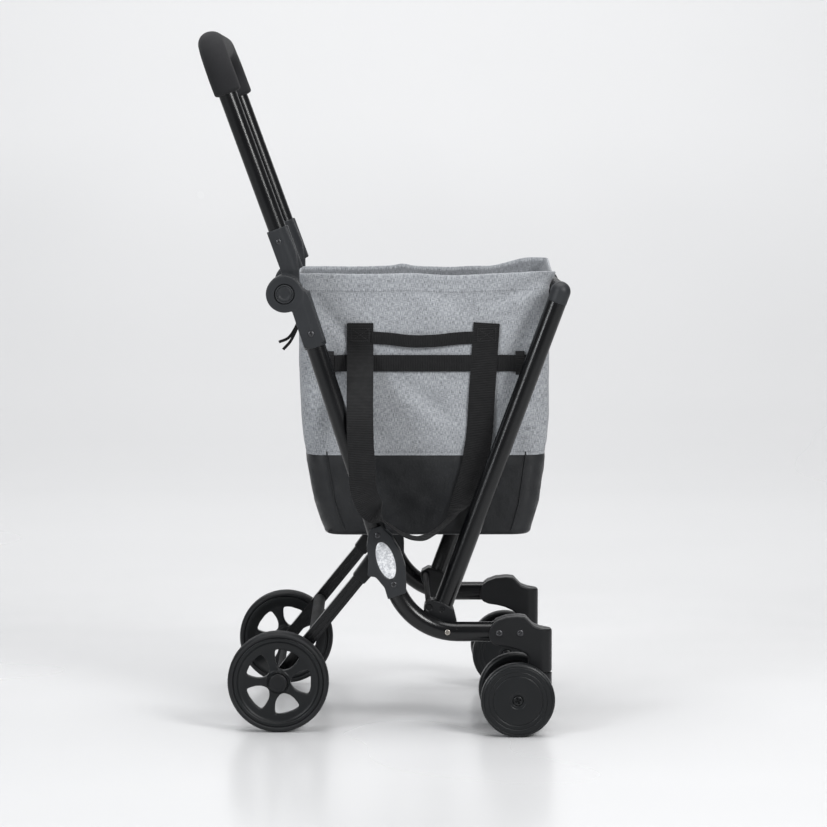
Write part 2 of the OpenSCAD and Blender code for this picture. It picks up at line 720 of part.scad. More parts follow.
module front_top_bar() {
    reach = front_y - 2;
    color(black) difference() {
        cross_rod(front_top, top_bar_d / 2, -reach, reach);
        cross_rod(front_top, top_bar_d / 2 - tube_wall, -reach - 1, reach + 1);
    }
}

// End bracket: joins a front tube's foot, the pivot bolt and the cross rod.
module front_end_brackets() {
    y0 = front_y - tube_r - 3;
    y1 = side_y - tube_r - 0.6;
    color(charcoal) both_sides() difference() {
        slab(y0, y1) polygon([
            on_line(front_base, front_lean, -12, 4), on_line(front_base, front_lean, -10, 24),
            on_line(front_base, front_lean, 2, 30), on_line(front_base, front_lean, 14, 27),
            on_line(front_base, front_lean, 30, tube_r + 2), on_line(front_base, front_lean, 34, 0),
            on_line(front_base, front_lean, 32, -tube_r - 4), on_line(front_base, front_lean, 23, -25.5),
            on_line(front_base, front_lean, 13, -24), on_line(front_base, front_lean, -4, -8)
        ]);
        at_lean(on_line(front_base, front_lean, front_tube_from), front_y, front_lean)
            cylinder(h = 80, r = tube_r);
        cross_rod(pivot_pt, bolt_r + pin_play, 0, frame_w);
        cross_rod(rod_pt, rod_r, 0, frame_w);
        screw_hole(end_screw_pt, end_screw_y, 3.2);
    }
}

module front_rod_and_screws() {
    reach = side_y - tube_r - 1.2;
    color(steel) {
        cross_rod(rod_pt, rod_r, -reach, reach);
        both_sides() screw(end_screw_pt, end_screw_y, 3.2);
    }
}

// Cloth sleeve that hangs the bag's front edge on the top bar.
module bag_front_sleeve() {
    color(dark_cloth) difference() {
        union() {
            cross_rod(front_top, top_bar_d / 2 + 0.1 + 2, -sleeve_w / 2, sleeve_w / 2);
            translate([bag_front + gap, -sleeve_w / 2, front_top[1] - 60])
                cube([2, sleeve_w, 60]);
        }
        cross_rod(front_top, top_bar_d / 2 + 0.1, -sleeve_w, sleeve_w);
    }
}

// ---- rear legs ----

leg_t = 14;                        // thickness of a leg across the trolley
eye_t = 15;                        // and of the eye at its foot, round the axle
groove_d = 2;
axle_r = 5;
knuckle_in_y = leg_y - 10;
knuckle_out_y = side_y - tube_r - 2.4;
cross_share = 0.64;                // where along the legs their cross tube is
leg_cross_pt = leg_pivot - cross_share * leg_len * up(leg_lean);
leg_cross_r = 9;

// Leg: a flat bar with two long grooves in each face.
module leg(side) {
    color(black) on_side(side) difference() {
        union() {
            at_lean(leg_pivot, leg_y, leg_lean) translate([-leg_d / 2, -leg_t / 2, 3 - leg_len])
                cube([leg_d, leg_t, leg_len - 25]);
            cross_rod(axle_pt, leg_d / 2 + 1.2, leg_y - eye_t / 2, leg_y + eye_t / 2);
        }
        at_lean(leg_pivot, leg_y, leg_lean) for (x = [-3.4, 3.4], s = [-1, 1])
            translate([x - 1.2, s > 0 ? leg_t / 2 - groove_d : -leg_t / 2 - 1, -leg_len + 14])
                cube([2.4, groove_d + 1, leg_len]);
        cross_rod(axle_pt, axle_r, 0, frame_w);
        cross_rod(leg_cross_pt, leg_cross_r, 0, leg_y);
    }
}

// Knuckle: the leg's plastic top, which turns on the pivot shaft.
module leg_knuckles() {
    color(charcoal) both_sides() difference() {
        union() {
            cross_rod(leg_pivot, shaft_r + 7, knuckle_in_y, knuckle_out_y);
            slab(knuckle_in_y, leg_y + leg_t / 2 + 2.5) polygon([
                on_line(leg_pivot, leg_lean, 0, -shaft_r - 6.5),
                on_line(leg_pivot, leg_lean, 0, shaft_r + 6.5),
                on_line(leg_pivot, leg_lean, -50, leg_d / 2 + 1.6),
                on_line(leg_pivot, leg_lean, -50, -leg_d / 2 - 1.6)
            ]);
        }
        cross_rod(leg_pivot, shaft_r + pin_play, 0, frame_w);
        at_lean(leg_pivot, leg_y, leg_lean) translate([-leg_d / 2, -leg_t / 2, -leg_len])
            cube([leg_d, leg_t, leg_len - 22]);
    }
}

module leg_cross_tube() {
    reach = leg_y;
    color(black) difference() {
        cross_rod(leg_cross_pt, leg_cross_r, -reach, reach);
        cross_rod(leg_cross_pt, leg_cross_r - tube_wall, -reach - 1, reach + 1);
    }
}

wheel_in_y = wheel_y - rear_tyre_w / 2;
wheel_out_y = wheel_y + rear_tyre_w / 2;

// Axle: a rod through both legs and wheels, with a spacer collar inside each wheel.
module rear_axle() {
    color(steel) union() {
        cross_rod(axle_pt, axle_r, -wheel_out_y + 1, wheel_out_y - 1);
        both_sides() cross_rod(axle_pt, 9, leg_y + eye_t / 2, wheel_in_y + 2.5);
    }
}

// ---- rear wheels ----

rim_r = rear_r - rear_tyre_t;
window_out_r = 47;
hub_r = 17;
cap_r = 13.4;
// Half of a window's outline between two spokes, as [radius, half its angle].
window_half = [
    [window_out_r, 8], [window_out_r, 17], [window_out_r - 0.3, 21], [window_out_r - 1.3, 23],
    [window_out_r - 3.2, 24], [39, 25], [34, 25.6], [30, 25.4], [26, 23.8], [23, 20.6], [20.6, 15.4],
    [hub_r + 1.2, 8]
];

// Rim: an outer band, a dished web with rounded windows between its spokes, and a hub.
module rear_rim(side) {
    half = rear_tyre_w / 2;
    color(charcoal) on_side(side) translate([axle_pt[0], wheel_y, axle_pt[1]]) rotate([-90, 0, 0]) difference() {
        union() {
            rotate_extrude($fn = 96) polygon([
                [axle_r + pin_play, -half + 3], [hub_r, -half + 3], [hub_r, -5], [window_out_r + 2, -5],
                [rim_r - 4, -half + 2], [rim_r, -half + 2], [rim_r, half - 2], [rim_r - 5, half - 2],
                [rim_r - 7.5, half - 5.5], [window_out_r + 2, half - 7], [hub_r, half - 7],
                [hub_r - 3, half - 2], [axle_r + pin_play, half - 2]
            ]);
        }
        for (i = [0:spokes - 1]) rotate([0, 0, 180 / spokes + 180 + i * 360 / spokes]) wheel_window(half);
        translate([0, 0, half - 9]) cylinder(h = 20, r = cap_r + 0.2);
    }
}

// One window between two spokes, which are narrow in the middle and flare into the rim.
module wheel_window(half) {
    share = 5 / spokes;
    n = len(window_half);
    translate([0, 0, -half - 1]) linear_extrude(2 * half + 2) polygon(concat(
        [for (p = window_half) p[0] * [cos(share * p[1]), sin(share * p[1])]],
        [for (i = [n - 1:-1:0]) let (p = window_half[i]) p[0] * [cos(share * p[1]), -sin(share * p[1])]]
    ));
}

module rear_tyre(side) {
    half = rear_tyre_w / 2;
    color(black) on_side(side) translate([axle_pt[0], wheel_y, axle_pt[1]]) rotate([-90, 0, 0])
        rotate_extrude($fn = 96) polygon([
            [rim_r, -half], [rear_r - 3, -half], [rear_r, -half + 4], [rear_r, half - 4],
            [rear_r - 3, half], [rim_r, half]
        ]);
}

// Cap over the axle's end, clipped into the rim.
module rear_cap(side) {
    half = rear_tyre_w / 2;
    color(black) on_side(side) translate([axle_pt[0], wheel_y, axle_pt[1]]) rotate([-90, 0, 0])
        rotate_extrude($fn = 64) polygon([
            [0, half - 0.5], [cap_r - 3, half - 0.5], [cap_r - 3, half - 8.8], [cap_r, half - 8.8],
            [cap_r, half + 2.6], [cap_r - 1.4, half + 4], [0, half + 4]
        ]);
}

// ---- casters ----

body_w = caster_pair_w - caster_wheel_w - 2 * 2;

// Swivel body: a head under the fork, a round boss on its top and an arm to the axle.
module caster_body(side) {
    head_z = stem_low_z - 1;
    color(charcoal) on_side(side) difference() {
        union() {
            translate([swivel_x, side_y, caster_axle[1] - 6]) cylinder(h = head_z - caster_axle[1] + 6, r = stem_housing_r);
            slab(side_y - 15, side_y + 15) polygon([
                [caster_axle[0] - 15, caster_axle[1] - 4], [caster_axle[0] - 10, caster_axle[1] - 13],
                [caster_axle[0] + 6, caster_axle[1] - 15], [swivel_x, caster_axle[1] - 6], [swivel_x, head_z],
                [swivel_x - 18, head_z], [swivel_x - 32, caster_axle[1] + 29], [caster_axle[0] - 13, caster_axle[1] + 14]
            ]);
            cross_rod(caster_axle, 14, side_y - body_w / 2, side_y + body_w / 2);
        }
        cross_rod(caster_axle, caster_axle_r, 0, frame_w);
        translate([swivel_x, side_y, caster_axle[1] + 4]) cylinder(h = 60, r = stem_r);
    }
}

// Swivel stem, with its retaining head inside the fork, and the wheel axle.
module caster_pins(side) {
    reach = caster_pair_w / 2 + caster_wheel_w / 2 - 4;
    color(steel) on_side(side) {
        translate([swivel_x, side_y, caster_axle[1] + 4]) cylinder(h = stem_low_z + 30.5 - caster_axle[1] - 4, r = stem_r);
        translate([swivel_x, side_y, stem_low_z + 31]) cylinder(h = 5, r = stem_r + 2.5);
        translate([swivel_x, side_y, stem_low_z + 30]) cylinder(h = 1.5, r = stem_r);
        cross_rod(caster_axle, caster_axle_r, side_y - reach, side_y + reach);
    }
}

// Caster wheel: a closed disc with ring grooves, a screw recess and a soft tread.
module caster_wheel(side, place) {
    y = side_y + (place == "outer" ? 1 : -1) * caster_pair_w / 2;
    out = place == "outer" ? 1 : -1;
    half = caster_wheel_w / 2;
    color(charcoal) on_side(side) translate([caster_axle[0], y, caster_axle[1]]) rotate([-90 * out, 0, 0])
        rotate_extrude($fn = 96) polygon([
            [caster_axle_r + pin_play, -half], [12, -half], [12, 0], [caster_r - 9, 0], [caster_r - 9, -half + 1],
            [caster_r - 4, -half], [caster_r - 1, -half + 2], [caster_r, -half + 5], [caster_r, half - 5],
            [caster_r - 1, half - 2], [caster_r - 4, half - 0.4], [caster_r - 4.6, half - 1.4],
            [caster_r - 5.4, half], [caster_r - 10.6, half], [caster_r - 11.4, half - 1],
            [caster_r - 12.2, half - 0.4], [caster_r - 16.6, half - 0.4], [caster_r - 17.4, half - 1.4],
            [caster_r - 18.4, half - 0.6], [7.5, half - 0.6], [7, half - 3], [caster_axle_r + pin_play, half - 3]
        ]);
}

main_tube("left");  // main_tube_left
main_tube("right");  // main_tube_right
hinge_lower("left");  // hinge_lower_left
hinge_lower("right");  // hinge_lower_right
bracket_outer("left");  // bracket_outer_left
bracket_outer("right");  // bracket_outer_right
bracket_inner_shells();
bracket_insets();
fork_outer("left");  // fork_outer_left
fork_outer("right");  // fork_outer_right
fork_inner_shells();
fork_bushes();
leg_pivot_shaft();
back_cross_tube();
hinge_pins();
front_pivot_bolts();
frame_screws();
bag_upper();
bag_lower();
bag_base_board();
bag_rim_hem();
bag_carry_loops();
bag_side_straps();
hinge_button("left");  // hinge_button_left
hinge_button("right");  // hinge_button_right
lock_gear("left");  // lock_gear_left
lock_gear("right");  // lock_gear_right
button_spring("left");  // button_spring_left
button_spring("right");  // button_spring_right
handle_tube();
handle_grip();
hinge_upper("left");  // hinge_upper_left
hinge_upper("right");  // hinge_upper_right
handle_screws();
front_tube("left");  // front_tube_left
front_tube("right");  // front_tube_right
front_elbows();
front_top_bar();
front_end_brackets();
front_rod_and_screws();
bag_front_sleeve();
leg("left");  // leg_left
leg("right");  // leg_right
leg_knuckles();
leg_cross_tube();
rear_axle();
rear_rim("left");  // rear_rim_left
rear_rim("right");  // rear_rim_right
rear_tyre("left");  // rear_tyre_left
rear_tyre("right");  // rear_tyre_right
rear_cap("left");  // rear_cap_left
rear_cap("right");  // rear_cap_right
caster_body("left");  // caster_body_left
caster_body("right");  // caster_body_right
caster_pins("left");  // caster_pins_left
caster_pins("right");  // caster_pins_right
caster_wheel("left", "outer");  // caster_wheel_left_outer
caster_wheel("left", "inner");  // caster_wheel_left_inner
caster_wheel("right", "outer");  // caster_wheel_right_outer
caster_wheel("right", "inner");  // caster_wheel_right_inner
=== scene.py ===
# %% [markdown]
# # A folding shopping trolley, dressed for a product picture
#
# The trolley's frame, hinges and wheels come from a CAD model, and each of them rides on the body
# that it moves with. Blender adds what CAD leaves plain: cloth that bulges and creases, webbing,
# foam, soft moulded edges, stitches and the finish of every surface. Everything is in metres.

# %% Load the frame
import json
import math

import bmesh
import bpy
import numpy as np
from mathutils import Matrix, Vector

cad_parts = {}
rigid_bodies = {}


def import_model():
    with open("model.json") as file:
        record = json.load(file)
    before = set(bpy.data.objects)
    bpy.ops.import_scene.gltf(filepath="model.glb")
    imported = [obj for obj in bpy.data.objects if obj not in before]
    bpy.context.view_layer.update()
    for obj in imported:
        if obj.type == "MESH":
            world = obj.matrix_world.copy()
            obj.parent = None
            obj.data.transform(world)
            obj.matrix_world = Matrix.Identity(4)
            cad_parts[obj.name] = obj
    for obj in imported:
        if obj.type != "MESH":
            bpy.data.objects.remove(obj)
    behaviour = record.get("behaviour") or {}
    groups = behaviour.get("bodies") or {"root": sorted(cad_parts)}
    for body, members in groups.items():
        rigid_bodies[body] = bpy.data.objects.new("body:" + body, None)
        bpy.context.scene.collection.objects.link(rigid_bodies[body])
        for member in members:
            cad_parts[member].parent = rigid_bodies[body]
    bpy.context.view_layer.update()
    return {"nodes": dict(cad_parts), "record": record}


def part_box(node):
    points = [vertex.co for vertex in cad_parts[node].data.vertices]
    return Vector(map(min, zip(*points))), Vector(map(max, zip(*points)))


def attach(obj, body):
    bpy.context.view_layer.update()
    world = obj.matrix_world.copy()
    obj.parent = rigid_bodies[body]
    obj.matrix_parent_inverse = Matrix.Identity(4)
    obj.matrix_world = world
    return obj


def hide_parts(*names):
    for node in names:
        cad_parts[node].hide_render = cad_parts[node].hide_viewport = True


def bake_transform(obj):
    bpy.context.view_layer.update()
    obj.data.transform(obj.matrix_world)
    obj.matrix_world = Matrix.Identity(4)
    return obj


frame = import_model()

# %% [markdown]
# ## Where things are
#
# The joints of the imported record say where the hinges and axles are. The side view of this trolley
# is all leaning lines, so one helper walks a distance up such a line and a distance ahead of it,
# and gives back the point. With it a screw or a strap lands on its tube at any lean.

# %% Points of the frame
MM = 0.001
joint_at = {j["name"]: np.array(j["pos_m"]) for j in frame["record"]["behaviour"]["joints"] if "pos_m" in j}
hinge = joint_at["handle_tilt"][[0, 2]]
SIDE_LEAN, HANDLE_LEAN, FRONT_LEAN = -18.06, -20.0, 20.4


def on_line(point, lean, along, ahead=0.0):
    """From a side-view point [x, z]: a distance along a line that leans, plus a distance ahead of it."""
    a = math.radians(lean)
    up_line, fore = np.array([math.sin(a), math.cos(a)]), np.array([math.cos(a), -math.sin(a)])
    return point + along * up_line + ahead * fore


hinge_foot = on_line(hinge, SIDE_LEAN, 0, 18.4 * MM)          # on the side tube's own middle line
bracket = on_line(hinge_foot, SIDE_LEAN, -(516 - 110.8) * MM)
front_foot = on_line(joint_at["front_frame_fold"][[0, 2]], FRONT_LEAN, 0, -16.8 * MM)
SIDE_Y, HANDLE_Y = 195 * MM, 180 * MM
print("bracket", bracket.round(4), "front tube's foot", front_foot.round(4))

# %% [markdown]
# ## Mesh helpers
#
# Most pieces here are grids of points: a profile carried along a path, or turned round an axis.
# The grid is worked out as one numpy array, and the faces are the quads between neighbouring rows
# and columns. Points that fall together at a seam or a pole are merged at the end.


# %% Grids into meshes
def quads(rows, cols, round_rows=False, round_cols=False):
    """The quads of a grid, counted row by row. A round direction also joins its last line to its first."""
    i, j = np.meshgrid(np.arange(rows - (not round_rows)), np.arange(cols - (not round_cols)), indexing="ij")
    i2, j2 = (i + 1) % rows, (j + 1) % cols
    return np.stack([i * cols + j, i * cols + j2, i2 * cols + j2, i2 * cols + j], -1).reshape(-1, 4)


def piece(name, points, faces, finish, uv=None, sharp=40, caps=()):
    """A mesh object at the origin. uv is one pair a point, in metres along the cloth or tape."""
    mesh = bpy.data.meshes.new(name)
    mesh.from_pydata(points.reshape(-1, 3).tolist(), [], faces.tolist() + [list(c) for c in caps])
    if uv is not None:
        loops = np.zeros(len(mesh.loops), np.int32)
        mesh.loops.foreach_get("vertex_index", loops)
        layer = mesh.uv_layers.new(name="cloth")
        layer.data.foreach_set("uv", uv.reshape(-1, 2)[loops].astype(np.float32).ravel())
    obj = bpy.data.objects.new(name, mesh)
    bpy.context.scene.collection.objects.link(obj)
    mesh.materials.append(finish)
    tidy(obj, sharp)
    return obj


def tidy(obj, sharp=40):
    """Merges points that fall together, turns every face outwards and shades it smooth up to an angle."""
    work = bmesh.new()
    work.from_mesh(obj.data)
    bmesh.ops.remove_doubles(work, verts=work.verts, dist=2e-6)
    bmesh.ops.dissolve_degenerate(work, edges=work.edges, dist=1e-7)
    bmesh.ops.recalc_face_normals(work, faces=work.faces)
    work.to_mesh(obj.data)
    work.free()
    obj.data.shade_smooth()
    obj.data.set_sharp_from_angle(angle=math.radians(sharp))


def settle(obj):
    """Applies the object's modifiers, so that what they made is the mesh itself."""
    shaped = obj.evaluated_get(bpy.context.evaluated_depsgraph_get())
    mesh = bpy.data.meshes.new_from_object(shaped)
    obj.modifiers.clear()
    obj.data = mesh
    return obj


def merged(name, objs, finish):
    """Several small pieces as one object, for pieces that are always seen together."""
    work = bmesh.new()
    for o in objs:
        work.from_mesh(o.data)
        bpy.data.objects.remove(o)
    mesh = bpy.data.meshes.new(name)
    work.to_mesh(mesh)
    work.free()
    obj = bpy.data.objects.new(name, mesh)
    bpy.context.scene.collection.objects.link(obj)
    mesh.materials.append(finish)
    return obj


# %% [markdown]
# ## Curves and profiles
#
# A strap's route is given by a few points, and a smooth curve is laid through them: a cubic whose
# slope at each point is the slope between its two neighbours. A profile with square corners gets
# them rounded off by a quadratic curve, which is what makes a moulded edge catch a thin light.


# %% Curves, rounded profiles, sweeps and turned shapes
def smooth_through(points, count, round_way=False):
    """A cubic Hermite curve through the points, sampled evenly by length."""
    p = np.array(points, float)
    if round_way:
        p = np.vstack([p[-2:], p, p[:3]])
    knots = np.concatenate([[0], np.cumsum(np.linalg.norm(np.diff(p, axis=0), axis=1))])
    slope = np.gradient(p, knots, axis=0)
    fine = np.linspace(knots[2] if round_way else 0, knots[-3] if round_way else knots[-1], 40 * len(p))
    k = np.clip(np.searchsorted(knots, fine, side="right") - 1, 0, len(p) - 2)
    h = (knots[k + 1] - knots[k])[:, None]
    t = ((fine - knots[k]) / (knots[k + 1] - knots[k]))[:, None]
    curve = ((2 * t**3 - 3 * t**2 + 1) * p[k] + (t**3 - 2 * t**2 + t) * h * slope[k]
             + (3 * t**2 - 2 * t**3) * p[k + 1] + (t**3 - t**2) * h * slope[k + 1])
    length = np.concatenate([[0], np.cumsum(np.linalg.norm(np.diff(curve, axis=0), axis=1))])
    even = np.linspace(0, length[-1], count, endpoint=not round_way)
    return np.stack([np.interp(even, length, curve[:, c]) for c in range(curve.shape[1])], 1)


def rounded_profile(corners, radius, steps=4, closed=True):
    """Each corner becomes a quadratic curve that starts and ends up to radius away from it."""
    p = np.array(corners, float)
    before, after = np.roll(p, 1, 0) - p, np.roll(p, -1, 0) - p
    lb, la = np.linalg.norm(before, axis=1)[:, None], np.linalg.norm(after, axis=1)[:, None]
    start = p + before / lb * np.minimum(radius, 0.42 * lb)
    end = p + after / la * np.minimum(radius, 0.42 * la)
    t = np.linspace(0, 1, steps + 1)[None, :, None]
    curve = (1 - t)**2 * start[:, None] + 2 * t * (1 - t) * p[:, None] + t**2 * end[:, None]
    if not closed:
        curve[0], curve[-1] = p[0], p[-1]
    return curve.reshape(-1, 2)


def unit(v):
    """Each vector divided by its own length."""
    return v / np.linalg.norm(v, axis=-1, keepdims=True)


def swept(name, path, across, profile, finish, round_way=False, scale=None):
    """A profile [across, up] carried along a path. At each point across is made square to the path, up
    is square to both, and scale, one number a point, widens or narrows the profile."""
    path = np.array(path, float)
    if round_way:
        tangent = unit(np.roll(path, -1, 0) - np.roll(path, 1, 0))
    else:
        tangent = unit(np.gradient(path, axis=0))
    across = np.broadcast_to(np.array(across, float), path.shape)
    across = unit(across - (across * tangent).sum(1, keepdims=True) * tangent)
    up = np.cross(tangent, across)
    scale = np.ones(len(path)) if scale is None else scale
    grid = (path[:, None] + scale[:, None, None] * (profile[None, :, :1] * across[:, None]
                                                   + profile[None, :, 1:] * up[:, None]))
    rows, cols = grid.shape[:2]
    along = np.concatenate([[0], np.cumsum(np.linalg.norm(np.diff(path, axis=0), axis=1))])
    uv = np.stack(np.broadcast_arrays(along[:, None], profile[None, :, 0]), -1)
    caps = () if round_way else (list(range(cols))[::-1], [(rows - 1) * cols + c for c in range(cols)])
    return piece(name, grid, quads(rows, cols, round_way, True), finish, uv, caps=caps)


def turned(name, centre, out, profile, finish, count=96, closed=False):
    """A profile [radius, height] turned round an axis through centre. Height runs along out, which is
    +1 or -1 along Y. An open profile starts and ends on the axis or meets itself."""
    angle = np.linspace(0, 2 * math.pi, count, endpoint=False)[:, None]
    radius, height = np.array(profile, float).T
    grid = np.stack(np.broadcast_arrays(
        centre[0] + radius * np.cos(angle), centre[1] + out * height, centre[2] + radius * np.sin(angle)), -1)
    return piece(name, grid, quads(count, len(profile), True, closed), finish, sharp=50)


def tape(name, points, across, width, thick, finish, count=120, round_way=False):
    """Webbing: a flat strip with rounded edges along a smooth curve, turning as across does."""
    path = smooth_through(points, count, round_way)
    across = np.array(across, float)
    if across.ndim == 2:
        share, places = np.linspace(0, 1, len(across)), np.linspace(0, 1, count)
        across = np.stack([np.interp(places, share, across[:, c]) for c in range(3)], 1)
    edge = rounded_profile([[-width / 2, -thick / 2], [width / 2, -thick / 2],
                            [width / 2, thick / 2], [-width / 2, thick / 2]], 0.45 * thick, 3)
    return swept(name, path, across, edge, finish, round_way)


# %% [markdown]
# ## Stage, camera and light
#
# The trolley stands in a white studio: a pale floor that runs up into the wall behind without a
# line, one large soft light from the front right, a weaker one from the left, and a bright pale
# world. The camera is far away with a long lens, at the height of the handle's upper part and
# looking slightly down, so the left and right wheels show one above the other.


# %% Shader arithmetic
class Value:
    """A socket that Python's operators work on. Each operator adds one Math node."""

    def __init__(self, finish, socket):
        self.finish, self.socket = finish, socket

    def math(self, operation, other, turned_round=False):
        """Adds a Math node on this value and another, which comes first if turned round."""
        first, second = (other, self) if turned_round else (self, other)
        return self.finish.node("ShaderNodeMath", {"operation": operation}, {0: first, 1: second})

    def __add__(self, other):
        return self.math("ADD", other)

    def __sub__(self, other):
        return self.math("SUBTRACT", other)

    def __rsub__(self, other):
        return self.math("SUBTRACT", other, True)

    def __mul__(self, other):
        return self.math("MULTIPLY", other)

    __radd__, __rmul__ = __add__, __mul__


class Finish:
    """One material, and the methods that add its nodes."""

    def __init__(self, name):
        self.material = bpy.data.materials.new(name)
        self.material.use_nodes = True
        self.tree = self.material.node_tree
        self.tree.nodes.clear()

    def node(self, kind, settings=None, sockets=None, output=0):
        """Adds a node: its settings first, then the values or links of its sockets."""
        made = self.tree.nodes.new(kind)
        for key, value in (settings or {}).items():
            setattr(made, key, value)
        for key, value in (sockets or {}).items():
            if isinstance(value, Value):
                self.tree.links.new(value.socket, made.inputs[key])
            else:
                made.inputs[key].default_value = value
        return Value(self, made.outputs[output]) if made.outputs else made

    def place(self, scale=(1, 1, 1), uv=None, turn=(0, 0, 0)):
        """Coordinates in metres: the object's own, or those along the cloth or tape."""
        if uv:
            where = self.node("ShaderNodeUVMap", {"uv_map": uv})
        else:
            where = self.node("ShaderNodeTexCoord", output=3)
        return self.node("ShaderNodeMapping", sockets={0: where, 2: turn, 3: scale})

    def noise(self, where, scale=1.0, detail=2.0, rough=0.5):
        """Soft random blotches, scale of them to a metre."""
        return self.node("ShaderNodeTexNoise", sockets={
            "Vector": where, "Scale": scale, "Detail": detail, "Roughness": rough})

    def wave(self, where, scale, direction="X", distortion=0.0, profile="SIN"):
        """Parallel bands across one direction."""
        return self.node("ShaderNodeTexWave", {"bands_direction": direction, "wave_profile": profile}, {
            "Vector": where, "Scale": scale, "Distortion": distortion})

    def ramp(self, value, low, high, to_low=0.0, to_high=1.0):
        """Spreads the part of a value between low and high over another range, smoothly."""
        return self.node("ShaderNodeMapRange", {"interpolation_type": "SMOOTHSTEP"}, {
            0: value, 1: low, 2: high, 3: to_low, 4: to_high})

    def colours(self, share, first, second):
        """A mix of two colours: the first where share is 0, the second where it is 1."""
        sockets = {0: share, 6: (*first, 1), 7: (*second, 1)}
        return self.node("ShaderNodeMix", {"data_type": "RGBA"}, sockets, 2)

    def soft_edges(self, radius):
        """Normals that are rounded near an edge, as if it had a small radius."""
        return self.node("ShaderNodeBevel", {"samples": 4}, {"Radius": radius})

    def bump(self, height, distance, strength=1.0, normal=None):
        """Normals tilted by the slope of a height, which counts for distance in metres."""
        sockets = {"Height": height, "Distance": distance, "Strength": strength}
        if normal is not None:
            sockets["Normal"] = normal
        return self.node("ShaderNodeBump", sockets=sockets)

    def surface(self, **sockets):
        """The shader itself. An underscore in a socket's name stands for a space."""
        shader = self.node("ShaderNodeBsdfPrincipled", sockets={
            key.replace("_", " "): value for key, value in sockets.items()})
        self.node("ShaderNodeOutputMaterial", sockets={0: shader})
        return self.material


# %% Stage, camera and lights
def studio_floor():
    """Pale, slightly glossy sheet with a faint haze in its colour and its shine."""
    finish = Finish("studio_floor")
    where = finish.place((1, 1, 1))
    haze = finish.noise(where, 1.2, 2)
    return finish.surface(Base_Color=finish.colours(haze, (0.70, 0.702, 0.708), (0.74, 0.741, 0.747)),
                          Roughness=finish.ramp(haze, 0.3, 0.7, 0.20, 0.28), Specular_IOR_Level=0.30)


sweep_side = smooth_through([[-6, 0], [-3, 0], [0, 0], [2.2, 0.0], [3.2, 0.25], [3.8, 1.2], [4.0, 3],
                             [4.0, 6]], 80)
sweep_x = np.linspace(-7, 7, 12)
sweep_grid = np.stack(np.broadcast_arrays(sweep_x[None, :], sweep_side[:, :1], sweep_side[:, 1:]), -1)
floor = piece("studio_sweep", sweep_grid, quads(80, 12), studio_floor(), sharp=180)

IMAGE = 827
FOCAL = 3071.0                       # in units of one image-wide pixel
camera_data = bpy.data.cameras.new("camera")
camera_data.sensor_width = 36
camera_data.lens = 36 * FOCAL / IMAGE
camera_data.clip_end = 100
camera = bpy.data.objects.new("camera", camera_data)
camera.location = (-0.0064, -4.550, 0.862)
camera.rotation_euler = (math.radians(90 - 5.30), 0, math.radians(-0.63))
bpy.context.scene.collection.objects.link(camera)
bpy.context.scene.camera = camera


def soft_light(name, place, aim, size, power, tint=(1, 1, 1)):
    """A rectangular lamp that looks at a point."""
    data = bpy.data.lights.new(name, "AREA")
    data.shape, data.size, data.size_y = "RECTANGLE", size[0], size[1]
    data.energy, data.color = power, tint
    lamp = bpy.data.objects.new(name, data)
    lamp.location = place
    lamp.rotation_euler = (Vector(aim) - Vector(place)).to_track_quat("-Z", "Y").to_euler()
    bpy.context.scene.collection.objects.link(lamp)


soft_light("front_right_softbox", (2.2, -2.8, 2.4), (0, 0, 0.5), (1.1, 1.3), 98)
soft_light("front_left_fill", (-2.6, -3.0, 2.0), (0, 0, 0.5), (1.0, 1.6), 62, (0.95, 0.975, 1))
soft_light("overhead", (0.0, -0.2, 3.2), (0, 0.1, 0), (2.4, 2.0), 60)
soft_light("wall_wash", (0.0, 1.2, 3.2), (0, 3.6, 0.9), (4.5, 1.0), 62)

world = bpy.data.worlds.new("white_room")
world.use_nodes = True
world.node_tree.nodes["Background"].inputs["Color"].default_value = (0.97, 0.98, 1.0, 1)
world.node_tree.nodes["Background"].inputs["Strength"].default_value = 0.21
bpy.context.scene.world = world
bpy.context.scene.view_settings.view_transform = "Standard"
print("camera", camera_data.lens)

# %% [markdown]
# ## Finishes
#
# Nearly everything here is black, so the finishes differ by how they throw the light back: powder
# coated tubes are glossy with a faint orange peel, moulded plastic has a fine even grain, foam
# swallows the light, rubber is dull with a soft grain, and steel is satin. Noise on the object's
# own coordinates keeps the grain at its real size. A small rounding of the shading at the edges
# gives the hard CAD corners the thin light line of a moulded or deburred edge.


# %% Hard finishes
def gloss_black_tube():
    """Black powder coat: almost black, fairly glossy, with a faint orange peel."""
    f = Finish("gloss_black_tube")
    where = f.place()
    peel = f.noise(where, 420, 2)
    cloud = f.noise(where, 14, 3)
    return f.surface(
        Base_Color=f.colours(cloud, (0.0016, 0.0018, 0.0022), (0.0034, 0.0037, 0.0044)),
        Roughness=f.ramp(cloud, 0.3, 0.7, 0.20, 0.27), Specular_IOR_Level=0.40,
        Normal=f.bump(peel, 0.00012, 0.5, f.soft_edges(0.0006)))


def moulded_plastic(name, dark, light, rough, edge=0.0009, grain=1300):
    """Plastic from a finely etched mould: a fine grain in the bump, and edges that catch the light."""
    f = Finish(name)
    where = f.place()
    fine = f.noise(where, grain, 2, 0.6)
    cloud = f.noise(where, 22, 3)
    return f.surface(
        Base_Color=f.colours(cloud * 0.7 + fine * 0.3, dark, light),
        Roughness=f.ramp(cloud * 0.5 + fine * 0.5, 0.3, 0.7, rough - 0.06, rough + 0.06),
        Specular_IOR_Level=0.32, Normal=f.bump(fine, 0.00016, 0.7, f.soft_edges(edge)))


